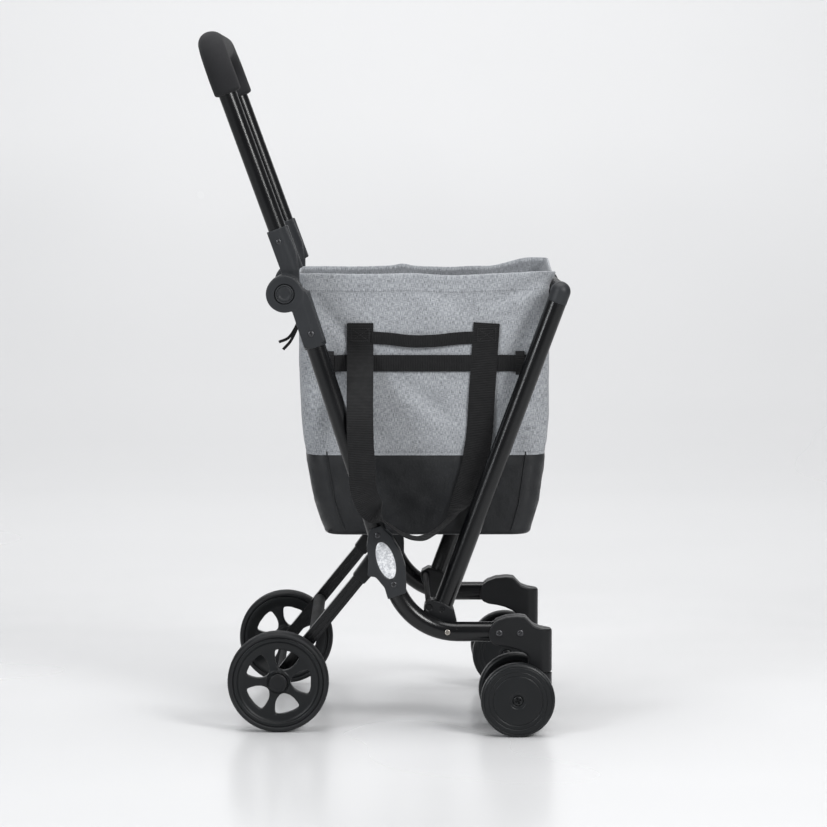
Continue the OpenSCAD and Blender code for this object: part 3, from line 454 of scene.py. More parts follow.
def grip_foam():
    """Closed-cell foam: round cells in the bump, and a soft dull shine."""
    f = Finish("grip_foam")
    where = f.place()
    cells = f.node("ShaderNodeTexVoronoi", {"feature": "F1"}, {"Vector": where, "Scale": 900})
    soft = f.noise(where, 60, 3)
    return f.surface(
        Base_Color=f.colours(soft * 0.6 + cells * 0.5, (0.008, 0.008, 0.009), (0.020, 0.020, 0.022)),
        Roughness=f.ramp(soft, 0.3, 0.7, 0.78, 0.9), Specular_IOR_Level=0.2,
        Sheen_Weight=0.06, Sheen_Roughness=0.5, Normal=f.bump(cells * 0.6 + soft, 0.0005, 0.6))


def tyre_rubber():
    """Solid rubber with a grain and a little dust, which makes it paler and duller in patches."""
    f = Finish("tyre_rubber")
    where = f.place()
    grain = f.noise(where, 700, 3)
    dust = f.noise(where, 30, 4, 0.6)
    return f.surface(
        Base_Color=f.colours(f.ramp(dust, 0.35, 0.75), (0.0065, 0.0070, 0.0080), (0.014, 0.015, 0.0165)),
        Roughness=f.ramp(dust, 0.3, 0.7, 0.46, 0.62), Specular_IOR_Level=0.32,
        Normal=f.bump(grain, 0.0003, 0.6, f.soft_edges(0.0008)))


def satin_steel(name, dark, light):
    """Metal between two colours, brushed across the trolley."""
    f = Finish(name)
    where = f.place()
    brushed = f.noise(f.place((1, 30, 1)), 300, 2)
    cloud = f.noise(where, 60, 3)
    return f.surface(
        Base_Color=f.colours(cloud, dark, light), Metallic=1.0,
        Roughness=f.ramp(brushed, 0.3, 0.7, 0.30, 0.46),
        Normal=f.bump(brushed, 0.00008, 0.5, f.soft_edges(0.0004)))


def silver_inset():
    """Bright foil with small flecks, finer than any mark."""
    f = Finish("silver_inset")
    where = f.place()
    swirl = f.noise(where, 240, 4, 0.7)
    flecks = swirl * 0.6 + f.noise(where, 420, 3, 0.7) * 0.4
    return f.surface(
        Base_Color=f.colours(f.ramp(flecks, 0.42, 0.58), (0.52, 0.535, 0.56), (0.88, 0.89, 0.905)),
        Metallic=0.2,
        Roughness=f.ramp(flecks, 0.3, 0.7, 0.26, 0.44), Normal=f.bump(flecks, 0.0004, 0.6))


gloss_black = gloss_black_tube()
charcoal_plastic = moulded_plastic("charcoal_plastic", (0.015, 0.0165, 0.0185), (0.026, 0.0280, 0.0310), 0.44)
black_plastic = moulded_plastic("black_plastic", (0.0036, 0.0040, 0.0047), (0.0072, 0.0079, 0.0090), 0.38)
wheel_plastic = moulded_plastic("wheel_plastic", (0.0036, 0.0043, 0.0050), (0.0080, 0.0092, 0.0104), 0.40,
                                0.0007)
board_plastic = moulded_plastic("board_plastic", (0.015, 0.015, 0.016), (0.028, 0.028, 0.03), 0.7)
dull_black = moulded_plastic("dull_black", (0.004, 0.0042, 0.005), (0.008, 0.0085, 0.0095), 0.72)
foam, rubber, inset_silver = grip_foam(), tyre_rubber(), silver_inset()
steel = satin_steel("satin_steel", (0.30, 0.28, 0.25), (0.48, 0.45, 0.41))
screw_steel = satin_steel("black_screw_steel", (0.055, 0.056, 0.060), (0.12, 0.12, 0.125))

# %% [markdown]
# ## Cloth and webbing
#
# The upper cloth is a heather: grey yarns of several shades, woven so that pale and dark dashes run
# up and across. Two stretched noises, one for the warp and one for the weft, mix a dark, a middle
# and a pale grey, and a fine wave in both directions makes the threads. The lower cloth is coated
# and nearly smooth. Webbing is ribbed across, with a selvedge along each side. All of these follow
# the cloth's own coordinates, in metres along it, so the pattern turns with the surface.


# %% Soft finishes
def heather_cloth(name, shaded_inside_from):
    """Pale and dark threads in short dashes, some up the cloth and some along it. Inside the bag,
    where its UV height counts on past the given height, the colour is darkened as painted shade."""
    f = Finish(name)
    height = f.node("ShaderNodeSeparateXYZ", None, {"Vector": f.place((1, 1, 1), "cloth")}, output=1)
    # painted shade: inside the bag the colour is drawn towards the dark grey, by up to 45 percent, for the
    # shadow that falls there
    shade = 1 - 0.45 * f.ramp(height, shaded_inside_from, shaded_inside_from + 0.004)
    warp = f.noise(f.place((1500, 150, 1), "cloth"), 1, 2, 0.5)
    weft = f.noise(f.place((170, 1600, 1), "cloth"), 1, 2, 0.5)
    cloud = f.noise(f.place((1, 1, 1), "cloth"), 26, 3)
    threads = f.wave(f.place((1, 1, 1), "cloth"), 330, "X") * f.wave(f.place((1, 1, 1), "cloth"), 330, "Y")
    dashes = warp * 0.58 + weft * 0.42
    mix = f.ramp(dashes + cloud * 0.08, 0.34, 0.74)
    return f.surface(
        Base_Color=f.colours(mix * shade, (0.128, 0.135, 0.147), (0.490, 0.508, 0.531)),
        Roughness=f.ramp(dashes, 0.3, 0.7, 0.94, 0.82),
        Specular_IOR_Level=0.2, Sheen_Weight=0.10, Sheen_Roughness=0.45,
        Normal=f.bump(dashes * 0.8 + threads * 0.5, 0.0004, 0.5))


def coated_cloth():
    """Black cloth with a coating: soft wrinkles in the bump, which are glossier on their dark side. The
    colour follows the same wrinkles: darker in their troughs as painted shade, paler on their crests as
    painted sheen.
    """
    f = Finish("coated_cloth")
    threads = f.wave(f.place((1, 1, 1), "cloth"), 420, "X") * f.wave(f.place((1, 1, 1), "cloth"), 420, "Y")
    rumple_and_shade = f.noise(f.place((1, 1, 1), "cloth"), 34, 4, 0.55)
    fine = f.noise(f.place((1, 1, 1), "cloth"), 240, 3, 0.6)
    return f.surface(
        # painted shade and sheen: the colour is keyed to the wrinkles' height, dark in the troughs and pale
        # on the crests
        Base_Color=f.colours(rumple_and_shade, (0.0026, 0.0030, 0.0038), (0.0095, 0.0108, 0.0130)),
        Roughness=f.ramp(rumple_and_shade, 0.35, 0.7, 0.32, 0.56), Specular_IOR_Level=0.42,
        Normal=f.bump(rumple_and_shade * 3 + fine * 0.8 + threads * 0.25, 0.0007, 0.6))


def webbing_cloth():
    """Black webbing with ribs across it and fine lines along it."""
    f = Finish("webbing_cloth")
    ribs = f.wave(f.place((1, 1, 1), "cloth"), 128, "X", 0.6)
    lines = f.wave(f.place((1, 1, 1), "cloth"), 260, "Y")
    wear = f.noise(f.place((1, 1, 1), "cloth"), 90, 3)
    return f.surface(
        Base_Color=f.colours(ribs * 0.5 + wear * 0.5, (0.0030, 0.0031, 0.0035), (0.0125, 0.0126, 0.0135)),
        Roughness=f.ramp(wear, 0.3, 0.7, 0.62, 0.78), Specular_IOR_Level=0.24,
        Sheen_Weight=0.04, Sheen_Roughness=0.4, Normal=f.bump(ribs + lines * 0.35 + wear * 0.3, 0.0007, 0.8))


def thread_finish(name, dark, light):
    """Sewing thread between two colours, with a fine twist."""
    f = Finish(name)
    twist = f.noise(f.place((1, 1, 1)), 2600, 2)
    return f.surface(Base_Color=f.colours(twist, dark, light),
                     Roughness=f.ramp(twist, 0.3, 0.7, 0.6, 0.75), Normal=f.bump(twist, 0.0001, 0.5))


heather = heather_cloth("heather_cloth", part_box("bag_upper")[1][2] + 0.002)
coated, webbing = coated_cloth(), webbing_cloth()
grey_thread = thread_finish("grey_thread", (0.13, 0.136, 0.145), (0.24, 0.248, 0.26))
black_thread = thread_finish("black_thread", (0.008, 0.008, 0.009), (0.022, 0.022, 0.024))
print("finishes", len(bpy.data.materials))

# %% [markdown]
# ## Frame parts straight from CAD
#
# Tubes, shafts, bolts and springs already have their real shape, with normals of their own, so
# they only get a finish. The tubes are powder coated steel. Shafts and bolts are bare zinc.


# %% Finish the tubes and the bare metal
nodes = frame["nodes"]


def finish_nodes(finish, *names):
    """Gives CAD parts one finish, in place of what they have."""
    for name in names:
        nodes[name].data.materials.clear()
        nodes[name].data.materials.append(finish)


finish_nodes(gloss_black, "main_tube_left", "main_tube_right", "handle_tube", "front_tube_left",
             "front_tube_right", "front_top_bar", "leg_left", "leg_right", "back_cross_tube")
finish_nodes(dull_black, "leg_cross_tube", "leg_pivot_shaft", "rear_axle", "front_rod_and_screws")
finish_nodes(steel, "hinge_pins", "caster_pins_left", "caster_pins_right",
             "fork_bushes", "button_spring_left", "button_spring_right", "lock_gear_left", "lock_gear_right")

# %% [markdown]
# ## Moulded parts
#
# The hinge halves, brackets, forks, elbows and caster bodies are injection mouldings: no edge on
# them is sharp. A copy of each CAD mesh is merged, cut up into small even cells by a voxel remesh
# and relaxed a few times, which rounds every edge by about a millimetre, as the mould does. The copy
# is about a quarter of a millimetre from the CAD surface elsewhere and moves with the same body.


# %% Soften the mouldings
def softened(node, finish, cell=1.25, passes=5, body=None):
    """A remeshed and relaxed copy of a CAD node, in its place. cell is in millimetres."""
    work = bmesh.new()
    work.from_mesh(nodes[node].data)
    bmesh.ops.remove_doubles(work, verts=work.verts, dist=1e-5)
    mesh = bpy.data.meshes.new("soft_" + node)
    work.to_mesh(mesh)
    work.free()
    obj = bpy.data.objects.new("soft_" + node, mesh)
    bpy.context.scene.collection.objects.link(obj)
    cells = obj.modifiers.new("cells", "REMESH")
    cells.mode, cells.voxel_size = "VOXEL", cell * MM
    relax = obj.modifiers.new("relax", "SMOOTH")
    relax.factor, relax.iterations = 0.5, passes
    settle(obj)
    obj.data.shade_smooth()
    obj.data.materials.clear()
    obj.data.materials.append(finish)
    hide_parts(node)
    if body is not False:
        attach(obj, body or nodes[node].parent.name.split(":")[-1])
    return obj


count = 0
for name, finish in [
        ("hinge_upper_left", charcoal_plastic), ("hinge_upper_right", charcoal_plastic),
        ("hinge_lower_left", charcoal_plastic), ("hinge_lower_right", charcoal_plastic),
        ("bracket_outer_left", charcoal_plastic), ("bracket_outer_right", charcoal_plastic),
        ("bracket_inner_shells", charcoal_plastic), ("fork_outer_left", black_plastic),
        ("fork_outer_right", black_plastic), ("fork_inner_shells", black_plastic),
        ("front_elbows", charcoal_plastic), ("front_end_brackets", black_plastic),
        ("leg_knuckles", black_plastic), ("caster_body_left", black_plastic),
        ("caster_body_right", black_plastic), ("rear_rim_left", wheel_plastic),
        ("rear_rim_right", wheel_plastic)]:
    count += len(softened(name, finish).data.polygons)
print("faces of the mouldings", count)

# %% [markdown]
# ## Wheels
#
# Tyres, caps and caster wheels are turned shapes. Each profile is a closed outline with its corners
# rounded off, carried once round the axle, so a tyre's shoulder is round and a ring groove has soft
# lips. The rear tyre is solid rubber with two shallow grooves round its tread.


# %% Turn the tyres, caps and caster wheels
axle = joint_at["rear_wheel_spin_left"][[0, 2]]
caster_axle = joint_at["caster_spin_left_out"][[0, 2]]
REAR_R, RIM_R, TRACK = axle[1], axle[1] - 8 * MM, 197 * MM
tyre_outline = rounded_profile(np.array([
    [RIM_R / MM, -12.5], [68.5, -14], [72.2, -9.5], [REAR_R / MM, -5.4], [72.1, -4.9], [72.1, -3.9],
    [REAR_R / MM, -3.4], [REAR_R / MM, 3.4], [72.1, 3.9], [72.1, 4.9], [REAR_R / MM, 5.4], [72.2, 9.5],
    [68.5, 14], [RIM_R / MM, 12.5]]) * MM, 2.2 * MM, 4)
cap_outline = rounded_profile(np.array([
    [0, 14], [10.4, 14], [10.4, 5.5], [13.2, 5.5], [13.2, 16.4], [11.2, 17.8], [8.6, 17.2], [0, 17.4]]) * MM,
    1.2 * MM, 4, closed=False)
caster_outline = rounded_profile(np.array([
    [4.3, -10.5], [12, -10.5], [12, 0], [43.5, 0], [43.5, -9.5], [49, -10.5], [52, -8.5], [53, -5],
    [53, 5], [52, 8.5], [49, 10.1], [48.3, 9.2], [47.6, 10.4], [42.4, 10.5], [41.6, 9.3], [40.8, 10.1],
    [36.6, 10.0], [35.6, 8.8], [34.6, 9.9], [12.5, 9.9], [11.6, 9.2], [8.2, 9.2], [7.6, 8.0],
    [4.3, 7.5]]) * MM, 0.8 * MM, 3)


def wheel_centre(point, y):
    """A side-view point [x, z] at a distance y to the side."""
    return np.array([point[0], y, point[1]])


def cross_head(name, centre, out, radius, depth, finish, recess=0.62, turn=0.0):
    """A domed screw head facing along out, with a cross recess: a polar grid whose height drops where
    a point lies in one of the cross's two bars."""
    r = np.linspace(0, 1, 22)[:, None]
    a = np.linspace(0, 2 * math.pi, 48, endpoint=False)[None, :]
    u, v = r * np.cos(a), r * np.sin(a)
    dome = 0.28 * radius * np.sqrt(np.clip(1 - 0.9 * r**2, 0, 1)) + 0 * a

    def bar(across, along):
        """How deep a point is in one bar of the cross, from 0 outside it to 1 on its floor."""
        return np.clip((0.17 - np.abs(across)) / 0.06, 0, 1) * np.clip((recess - np.abs(along)) / 0.08, 0, 1)

    dome = dome - depth * np.maximum(bar(u, v), bar(v, u))
    rows = np.concatenate([dome, np.full((1, 48), -0.5 * radius)])
    u, v = np.concatenate([u, u[-1:]]), np.concatenate([v, v[-1:]])
    c, s = math.cos(turn), math.sin(turn)
    grid = np.stack([centre[0] + radius * (c * u - s * v), centre[1] + out * rows,
                     centre[2] + radius * (s * u + c * v)], -1)
    back = list(range(22 * 48, 23 * 48))
    return piece(name, grid, quads(23, 48, False, True), finish, caps=(back,), sharp=35)


for side, out in (("left", 1), ("right", -1)):
    wheel = "rear_wheel_" + side
    centre = wheel_centre(axle, out * TRACK)
    tyre = turned("tyre_" + side, centre, out, tyre_outline, rubber, 160, closed=True)
    cap = turned("axle_cap_" + side, centre, out, cap_outline, black_plastic, 72)
    for obj, node in ((tyre, "rear_tyre_"), (cap, "rear_cap_")):
        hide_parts(node + side)
        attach(obj, wheel)
    for place, y, face in (("out", 240 * MM, out), ("in", 150 * MM, -out)):
        body = f"caster_wheel_{side}_{place}"
        disc = turned(f"caster_disc_{side}_{place}", wheel_centre(caster_axle, out * y), face, caster_outline,
                      wheel_plastic, 144, closed=True)
        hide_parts(f"caster_wheel_{side}_{'outer' if place == 'out' else 'inner'}")
        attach(disc, body)
        hub_centre = wheel_centre(caster_axle, out * y + face * 8.4 * MM)
        hub = cross_head(f"caster_hub_{side}_{place}", hub_centre, face, 6.6 * MM, 2.2 * MM, black_plastic,
                         0.7, 0.4)
        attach(hub, body)
print("wheels done")

# %% [markdown]
# ## Hinge buttons, screws and the silver insets
#
# Each hinge has a round push button with a ring groove and a dish for the fingertip. Its edge is a
# soft radius, so it's turned with a rounded profile. The screws have shallow domed heads with a
# cross recess. The bracket's oval inset is a thin domed plate, let into the shell.


# %% Buttons, screws, insets
SHELL_OUT, BRACKET_OUT, FORK_OUT = 212 * MM, 214 * MM, 212.1 * MM
button_outline = rounded_profile(np.array([
    [0, 1.2], [6.6, 1.3], [7.6, 2.4], [10.0, 2.5], [10.4, 1.5], [11.2, 1.5], [11.6, 2.5], [13.0, 2.2],
    [13.3, 1.0], [13.3, -4.2], [0, -4.2]]) * MM, 0.9 * MM, 4, closed=False)
swivel_x = float(joint_at["caster_swivel_left"][0])
screws = [  # name, side-view point, distance from the middle, radius, body
    ("socket_screw", on_line(hinge_foot, SIDE_LEAN, -65 * MM), SHELL_OUT, 4.0, "chassis"),
    ("bracket_screw_high", on_line(bracket, SIDE_LEAN, 38 * MM), BRACKET_OUT, 4.0, "chassis"),
    ("bracket_screw_low", on_line(bracket, SIDE_LEAN, -36.5 * MM), BRACKET_OUT, 4.0, "chassis"),
    ("fork_screw_back", np.array([swivel_x - 59 * MM, 144 * MM]), FORK_OUT, 4.5, "chassis"),
    ("fork_screw_front", np.array([swivel_x - 29 * MM, 144 * MM]), FORK_OUT, 4.5, "chassis"),
    ("front_pivot_bolt", joint_at["front_frame_fold"][[0, 2]], 211.6 * MM, 3.9, "chassis"),
    ("handle_screw", on_line(hinge, HANDLE_LEAN, 72 * MM, 17.2 * MM), 195.9 * MM, 3.4, "handle")]
for side, out in (("left", 1), ("right", -1)):
    button = turned("push_button_" + side, wheel_centre(hinge, out * SHELL_OUT), out, button_outline,
                    charcoal_plastic, 96)
    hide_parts("hinge_button_" + side)
    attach(button, "button_" + side)
    for index, (name, point, y, radius, body) in enumerate(screws):
        metal = steel if name == "front_pivot_bolt" else screw_steel
        head = cross_head(f"{name}_{side}", wheel_centre(point, out * (y - 0.2 * MM)), out, radius * MM,
                          0.34 * radius * MM, metal, turn=0.5 + 1.3 * index)
        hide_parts({"handle_screw": "handle_screws", "front_pivot_bolt": "front_pivot_bolts"}.get(
            name, "frame_screws"))
        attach(head, body)

rho = np.linspace(0, 1, 18)[:, None]
theta = np.linspace(0, 2 * math.pi, 72, endpoint=False)[None, :]
plates = []
for out in (1, -1):
    along, ahead = 27.6 * MM * rho * np.cos(theta), 12.7 * MM * rho * np.sin(theta)
    lean = math.radians(SIDE_LEAN)
    height = BRACKET_OUT - 1.4 * MM + 2.5 * MM * np.sqrt(np.clip(1 - rho**2 * 0.995, 0, 1)) + 0 * theta
    grid = np.stack([bracket[0] + along * math.sin(lean) + ahead * math.cos(lean), out * height,
                     bracket[1] + along * math.cos(lean) - ahead * math.sin(lean)], -1)
    grid = np.concatenate([grid, grid[-1:] - [[[0, out * 1.0 * MM, 0]]]])
    plates.append(piece("inset", grid, quads(19, 72, False, True), inset_silver,
                        caps=(list(range(18 * 72, 19 * 72)),)))
insets = merged("bracket_inset_plates", plates, inset_silver)
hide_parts("bracket_insets")
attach(insets, "chassis")

# %% [markdown]
# ## Foam grip
#
# The handle's crossbar and both its corners are wrapped in a soft foam sleeve. It's a round section
# carried along the handle's own path: up one leg, round a corner, across and down. The ends close
# in on the tube over a few millimetres, and a faint slow wave keeps the sleeve from looking turned.


# %% Sweep the grip
LEG_TOP, CORNER, GRIP_R, GRIP_FULLER = 368 * MM, 55 * MM, 18.4 * MM, 1.12
quarter = np.linspace(0, math.pi / 2, 26)
leg = np.linspace(292 * MM, LEG_TOP - CORNER, 16)[:-1]
up_leg = np.stack([leg, np.full(len(leg), HANDLE_Y)], 1)
corner = np.stack([LEG_TOP - CORNER + CORNER * np.sin(quarter),
                   HANDLE_Y - CORNER + CORNER * np.cos(quarter)], 1)
half_way = np.concatenate([up_leg, corner])
bar = np.linspace(HANDLE_Y - CORNER, -(HANDLE_Y - CORNER), 50)[1:-1]
across_bar = np.stack([np.full(len(bar), LEG_TOP), bar], 1)
grip_way = np.concatenate([half_way, across_bar, half_way[::-1] * [1, -1]])
a = math.radians(HANDLE_LEAN)
grip_path = np.stack([
    hinge[0] + grip_way[:, 0] * math.sin(a) + 21.2 * MM * math.cos(a), grip_way[:, 1],
    hinge[1] + grip_way[:, 0] * math.cos(a) - 21.2 * MM * math.sin(a)], 1)
way = np.concatenate([[0], np.cumsum(np.linalg.norm(np.diff(grip_path, axis=0), axis=1))])
end_gap = np.minimum(way, way[-1] - way)
fit = 0.735 + 0.265 * np.sqrt(np.clip(1 - (1 - np.clip(end_gap / (5 * MM), 0, 1))**2, 0, 1))
fit = fit * (1 + 0.006 * np.sin(way * 61) + 0.004 * np.sin(way * 143 + 1))
around_grip = np.linspace(0, 2 * math.pi, 56, endpoint=False)
grip = swept("foam_grip", grip_path, [math.cos(a), 0, -math.sin(a)],
             GRIP_R * np.stack([np.cos(around_grip) * np.where(np.cos(around_grip) > 0, GRIP_FULLER, 1.0),
                                np.sin(around_grip)], 1), foam, scale=fit)
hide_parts("handle_grip")
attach(grip, "handle")
print("grip", len(grip.data.polygons))

# %% [markdown]
# ## The bag
#
# The bag is a sewn fabric box: heather cloth above, coated cloth below, and a stiff board in its
# bottom. It hangs by its rim, so its walls belly out a little between the rim and the seam, crease
# where the straps pull, and draw in at the bottom. It could be a cloth simulation, but the creases of
# a sewn bag come from how it's cut and stitched, so they are listed here. The wall is one
# function of two parameters: how far round the bag, and how high. Its plan is a rounded rectangle
# whose size changes with the height, and belly, creases and ripples move each point outwards or
# inwards. The wall goes down again on the inside, so it's a closed sheet with a real thickness.


# %% The bag's wall as a function
bag_low_box, bag_top_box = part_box("bag_lower"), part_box("bag_upper")
BAG_BACK, BAG_FRONT, BAG_Y = bag_top_box[0][0], bag_top_box[1][0], 125 * MM
BOTTOM, SEAM, RIM, CLOTH = bag_low_box[0][2], bag_top_box[0][2], bag_top_box[1][2], 2.4 * MM
BACK_IN = np.array([[269, 42], [295, 31], [322, 22], [388, 11], [446, 6], [653, 0]]) * MM
FRONT_IN = np.array([[269, 28], [295, 20], [322, 13], [388, 4], [446, 1], [653, 0]]) * MM


def columns(side=96, end=64, corner=9):
    """Where each column of the wall stands, as shares of half the length and half the width from the
    middle, and the way it faces as an angle. Counted from the front, anticlockwise seen from above."""
    long, short = np.linspace(-1, 1, side), np.linspace(-1, 1, end)
    turn = np.linspace(0, math.pi / 2, corner + 2)[1:-1]
    one = np.ones(corner)
    parts = []
    for k, (line, fixed) in enumerate(((short, 1), (-long, 1), (-short, -1), (long, -1))):
        straight = np.full(len(line), float(fixed))
        here = (straight, line) if k % 2 == 0 else (line, straight)
        parts.append((*here, np.full(len(line), k * math.pi / 2)))
        parts.append((one * (1, -1, -1, 1)[k], one * (1, 1, -1, -1)[k], turn + k * math.pi / 2))
    return [np.concatenate(c)[None, :] for c in zip(*parts)]


SX, SY, FACING = columns()


def smooth_step(x, low, high):
    """0 below low, 1 above high, and a cubic ease between them."""
    t = np.clip((x - low) / (high - low), 0, 1)
    return t * t * (3 - 2 * t)


def ripple(u, v, seed, size, rough=0.6):
    """Slow random waves: twelve sines in random directions, from size metres down to a quarter of it."""
    rng = np.random.default_rng(seed)
    total = 0 * (u + v)
    for k in range(12):
        turn, start = rng.uniform(0, 2 * math.pi, 2)
        wave = 2 * math.pi / (size * (1 - 0.75 * k / 12))
        total = total + rough**(k / 4) * np.sin(wave * (u * math.cos(turn) + v * math.sin(turn)) + start)
    return total / 4


def crease(u, v, start, end, depth, width):
    """A fold: a trough along a line from start to end with a ridge beside it, dying out at both ends.
    The trough is a bell curve of the distance from the line."""
    line = np.array(end) - start
    length = math.hypot(*line)
    along = ((u - start[0]) * line[0] + (v - start[1]) * line[1]) / length**2
    off = ((u - start[0]) * line[1] - (v - start[1]) * line[0]) / length
    fade = smooth_step(along, -0.15, 0.25) * (1 - smooth_step(along, 0.75, 1.15))
    ridge = 0.7 * np.exp(-((off - 1.7 * width) / (1.2 * width))**2)
    return depth * fade * (ridge - np.exp(-(off / width)**2))


def folds_at(x, z, folds):
    """The sum of the creases in a list, at points x and z in metres."""
    return sum(crease(x, z, np.array(start) * MM, np.array(end) * MM, depth * MM, width * MM)
               for start, end, depth, width in folds)


NEAR_CREASES = [  # [start x, z], [end x, z], depth, width, in millimetres
    ([18, 508], [100, 440], 2.6, 11.0), ([150, 612], [244, 646], 3.2, 9.0),
    ([-102, 622], [-48, 556], 3.0, 10.0), ([218, 596], [184, 530], 2.8, 11.0),
    ([-98, 500], [-72, 405], 2.0, 13.0), ([176, 505], [232, 436], 2.6, 13.0),
    ([120, 476], [156, 396], 1.8, 14.0), ([-58, 452], [22, 402], 1.8, 12.0),
    ([40, 640], [120, 606], 1.8, 12.0)]


def bag_wall(z, inward=0.0):
    """Points of the wall at heights z, one row a height, moved inwards by a distance."""
    back = BAG_BACK + np.interp(z, *BACK_IN.T)
    front = BAG_FRONT - np.interp(z, *FRONT_IN.T)
    radius = 31 * MM - 11 * MM * smooth_step(z, 0.52, RIM)
    middle, half = (back + front) / 2, (front - back) / 2 - radius
    x = middle + SX * half + radius * np.cos(FACING)
    y = SY * (BAG_Y - radius) + radius * np.sin(FACING)
    high = np.clip((z - BOTTOM) / (RIM - BOTTOM), 0, 1)
    belly = np.sin(math.pi * high)**0.8
    ends, sides = np.cos(FACING)**2, np.sin(FACING)**2
    out = belly * (sides * (1 - SX**2) * 5.2 * MM + ends * (1 - SY**2) * 4.0 * MM)
    out = out - 2.2 * MM * np.exp(-((z - SEAM) / (9 * MM))**2) * (1 - 0.4 * sides)
    near, far = (SY < 0) * sides, (SY > 0) * sides
    turned_x = 110 * MM - x  # the far side has every second crease, turned end for end
    out = out + near * folds_at(x, z, NEAR_CREASES) + far * folds_at(turned_x, z, NEAR_CREASES[::2])
    calm = 1 - 0.75 * np.exp(-((z - RIM) / (14 * MM))**2)
    out = out + calm * 0.9 * MM * ripple(x + 0.6 * y, 0.8 * z + 0.4 * y, 7, 0.11)
    coated_part = 1 - smooth_step(z, SEAM - 12 * MM, SEAM)
    out = out + (calm * 0.30 + coated_part * 0.35) * MM * ripple(x - y, z, 11, 0.045)
    hem = smooth_step(z, RIM - 27 * MM, RIM - 25.5 * MM)
    out = out + 0.5 * MM * hem - inward
    lean = 8 * MM * smooth_step(z, 0.633, RIM) * (SX > 0.9) * ends
    x = x + out * np.cos(FACING) + lean
    y = y + out * np.sin(FACING)
    rise = smooth_step(z, 0.56, RIM)
    far_corner = 13 * MM * smooth_step(x, 0.15, 0.226) * smooth_step(y, -0.02, 0.11)
    near_corner = 3.5 * MM * smooth_step(x, 0.17, 0.23) * smooth_step(-y, 0.03, 0.11)
    peak = 3.0 * MM * np.exp(-((x - 0.029) / 0.012)**2) * (y > 0) - 1.2 * MM * np.exp(-((x - 0.10) / 0.03)**2)
    wave = 1.3 * MM * ripple(x, y, 5, 0.16)
    return np.stack(np.broadcast_arrays(x, y, z + rise * (far_corner + near_corner + peak + wave)), -1)


def cloth_uv(z):
    """Metres round the bag and metres up, for the weave."""
    step = np.hypot(np.diff(SX[0], append=SX[0, :1]) * 0.16, np.diff(SY[0], append=SY[0, :1]) * 0.10)
    step = step + np.abs(np.diff(FACING[0], append=FACING[0, -1:])) * 0.022
    round_bag = np.concatenate([[0], np.cumsum(step)[:-1]])[None, :]
    return np.stack(np.broadcast_arrays(round_bag, z), -1)


def with_the_bag(obj, *replaced):
    """The bag hangs between the side tubes and the front frame. Hides the CAD parts that a piece of it stands
    in for and bakes the piece's place into its mesh; the piece is tied to no body and doesn't bend.
    """
    if replaced:
        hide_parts(*replaced)
    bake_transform(obj)
    return obj


# %% Upper and lower cloth
ROWS = 88
up_rows = np.linspace(SEAM - 3 * MM, RIM, ROWS)[:, None]
ROLL = (0.15, 0.5, 0.85)  # how far over the rim's edge each row of its roll is
outside = bag_wall(up_rows, -0.5 * MM)
over = np.concatenate([bag_wall(np.array([[RIM]]), s * CLOTH) + [0, 0, 0.9 * MM * math.sin(math.pi * s)]
                       for s in ROLL])
down_rows = np.linspace(RIM, SEAM - 3 * MM, 40)[:, None]
inside = bag_wall(down_rows, CLOTH)
upper_grid = np.concatenate([outside, over, inside])
# heights past the rim mark the inside rows, which the heather finish darkens as painted shade
upper_heights = np.concatenate([up_rows, np.full((3, 1), RIM + 1 * MM), 2 * RIM - down_rows])
upper_cloth = piece("bag_cloth_upper", upper_grid, quads(len(upper_grid), SX.shape[1], True, True), heather,
                    cloth_uv(upper_heights), sharp=70)
with_the_bag(upper_cloth, "bag_upper")

shrink = np.linspace(1, 0, 14)[1:]


def floor_rows(wall_row, height, order):
    """The bag's bottom: the lowest ring of the wall drawn in towards its own middle."""
    middle = wall_row.mean(axis=1, keepdims=True)
    rows = middle + (wall_row - middle) * order[:, None, None]
    rows[..., 2] = height + 0.4 * MM * ripple(rows[..., 0], rows[..., 1], 3, 0.07)
    return rows


low_rows = np.linspace(SEAM + 2 * MM, BOTTOM + 8 * MM, 42)[:, None]
edge = np.linspace(0, math.pi / 2, 6)[1:]
low_outside = bag_wall(low_rows, 0.3 * MM)
low_turn = np.concatenate([bag_wall(np.array([[BOTTOM + 8 * MM]]), 0.3 * MM + 7 * MM * (1 - math.cos(e)))
                           - [0, 0, 7 * MM * math.sin(e)] for e in edge])
low_floor = floor_rows(low_turn[-1:], BOTTOM + 1 * MM, shrink)
in_turn = np.concatenate([bag_wall(np.array([[BOTTOM + 9 * MM]]), 2.6 * MM + 6 * MM * (1 - math.cos(e)))
                          - [0, 0, 5.5 * MM * math.sin(e)] for e in edge[::-1]])
in_floor = floor_rows(in_turn[:1], BOTTOM + 3.4 * MM, shrink[::-1])
low_inside = bag_wall(low_rows[::-1], 2.6 * MM)
lower_grid = np.concatenate([in_floor, in_turn, low_inside, low_outside, low_turn, low_floor])
low_heights = np.concatenate([np.linspace(0.05, BOTTOM, 13)[:, None], np.full((5, 1), BOTTOM), low_rows[::-1],
                              low_rows, np.full((5, 1), BOTTOM), np.linspace(BOTTOM, 0.05, 13)[:, None]])
lower_cloth = piece("bag_cloth_lower", lower_grid, quads(len(lower_grid), SX.shape[1], False, True), coated,
                    cloth_uv(low_heights), sharp=70)
with_the_bag(lower_cloth, "bag_lower")
with_the_bag(softened("bag_base_board", board_plastic, 1.6, 4, body=False))

# %% [markdown]
# ### Piping
#
# A piped edge runs down each end of the two black side panels, where they're sewn to the front and
# the back. It's a thin round section swept down one column of the bag's wall, so it lies on the
# cloth at every height.


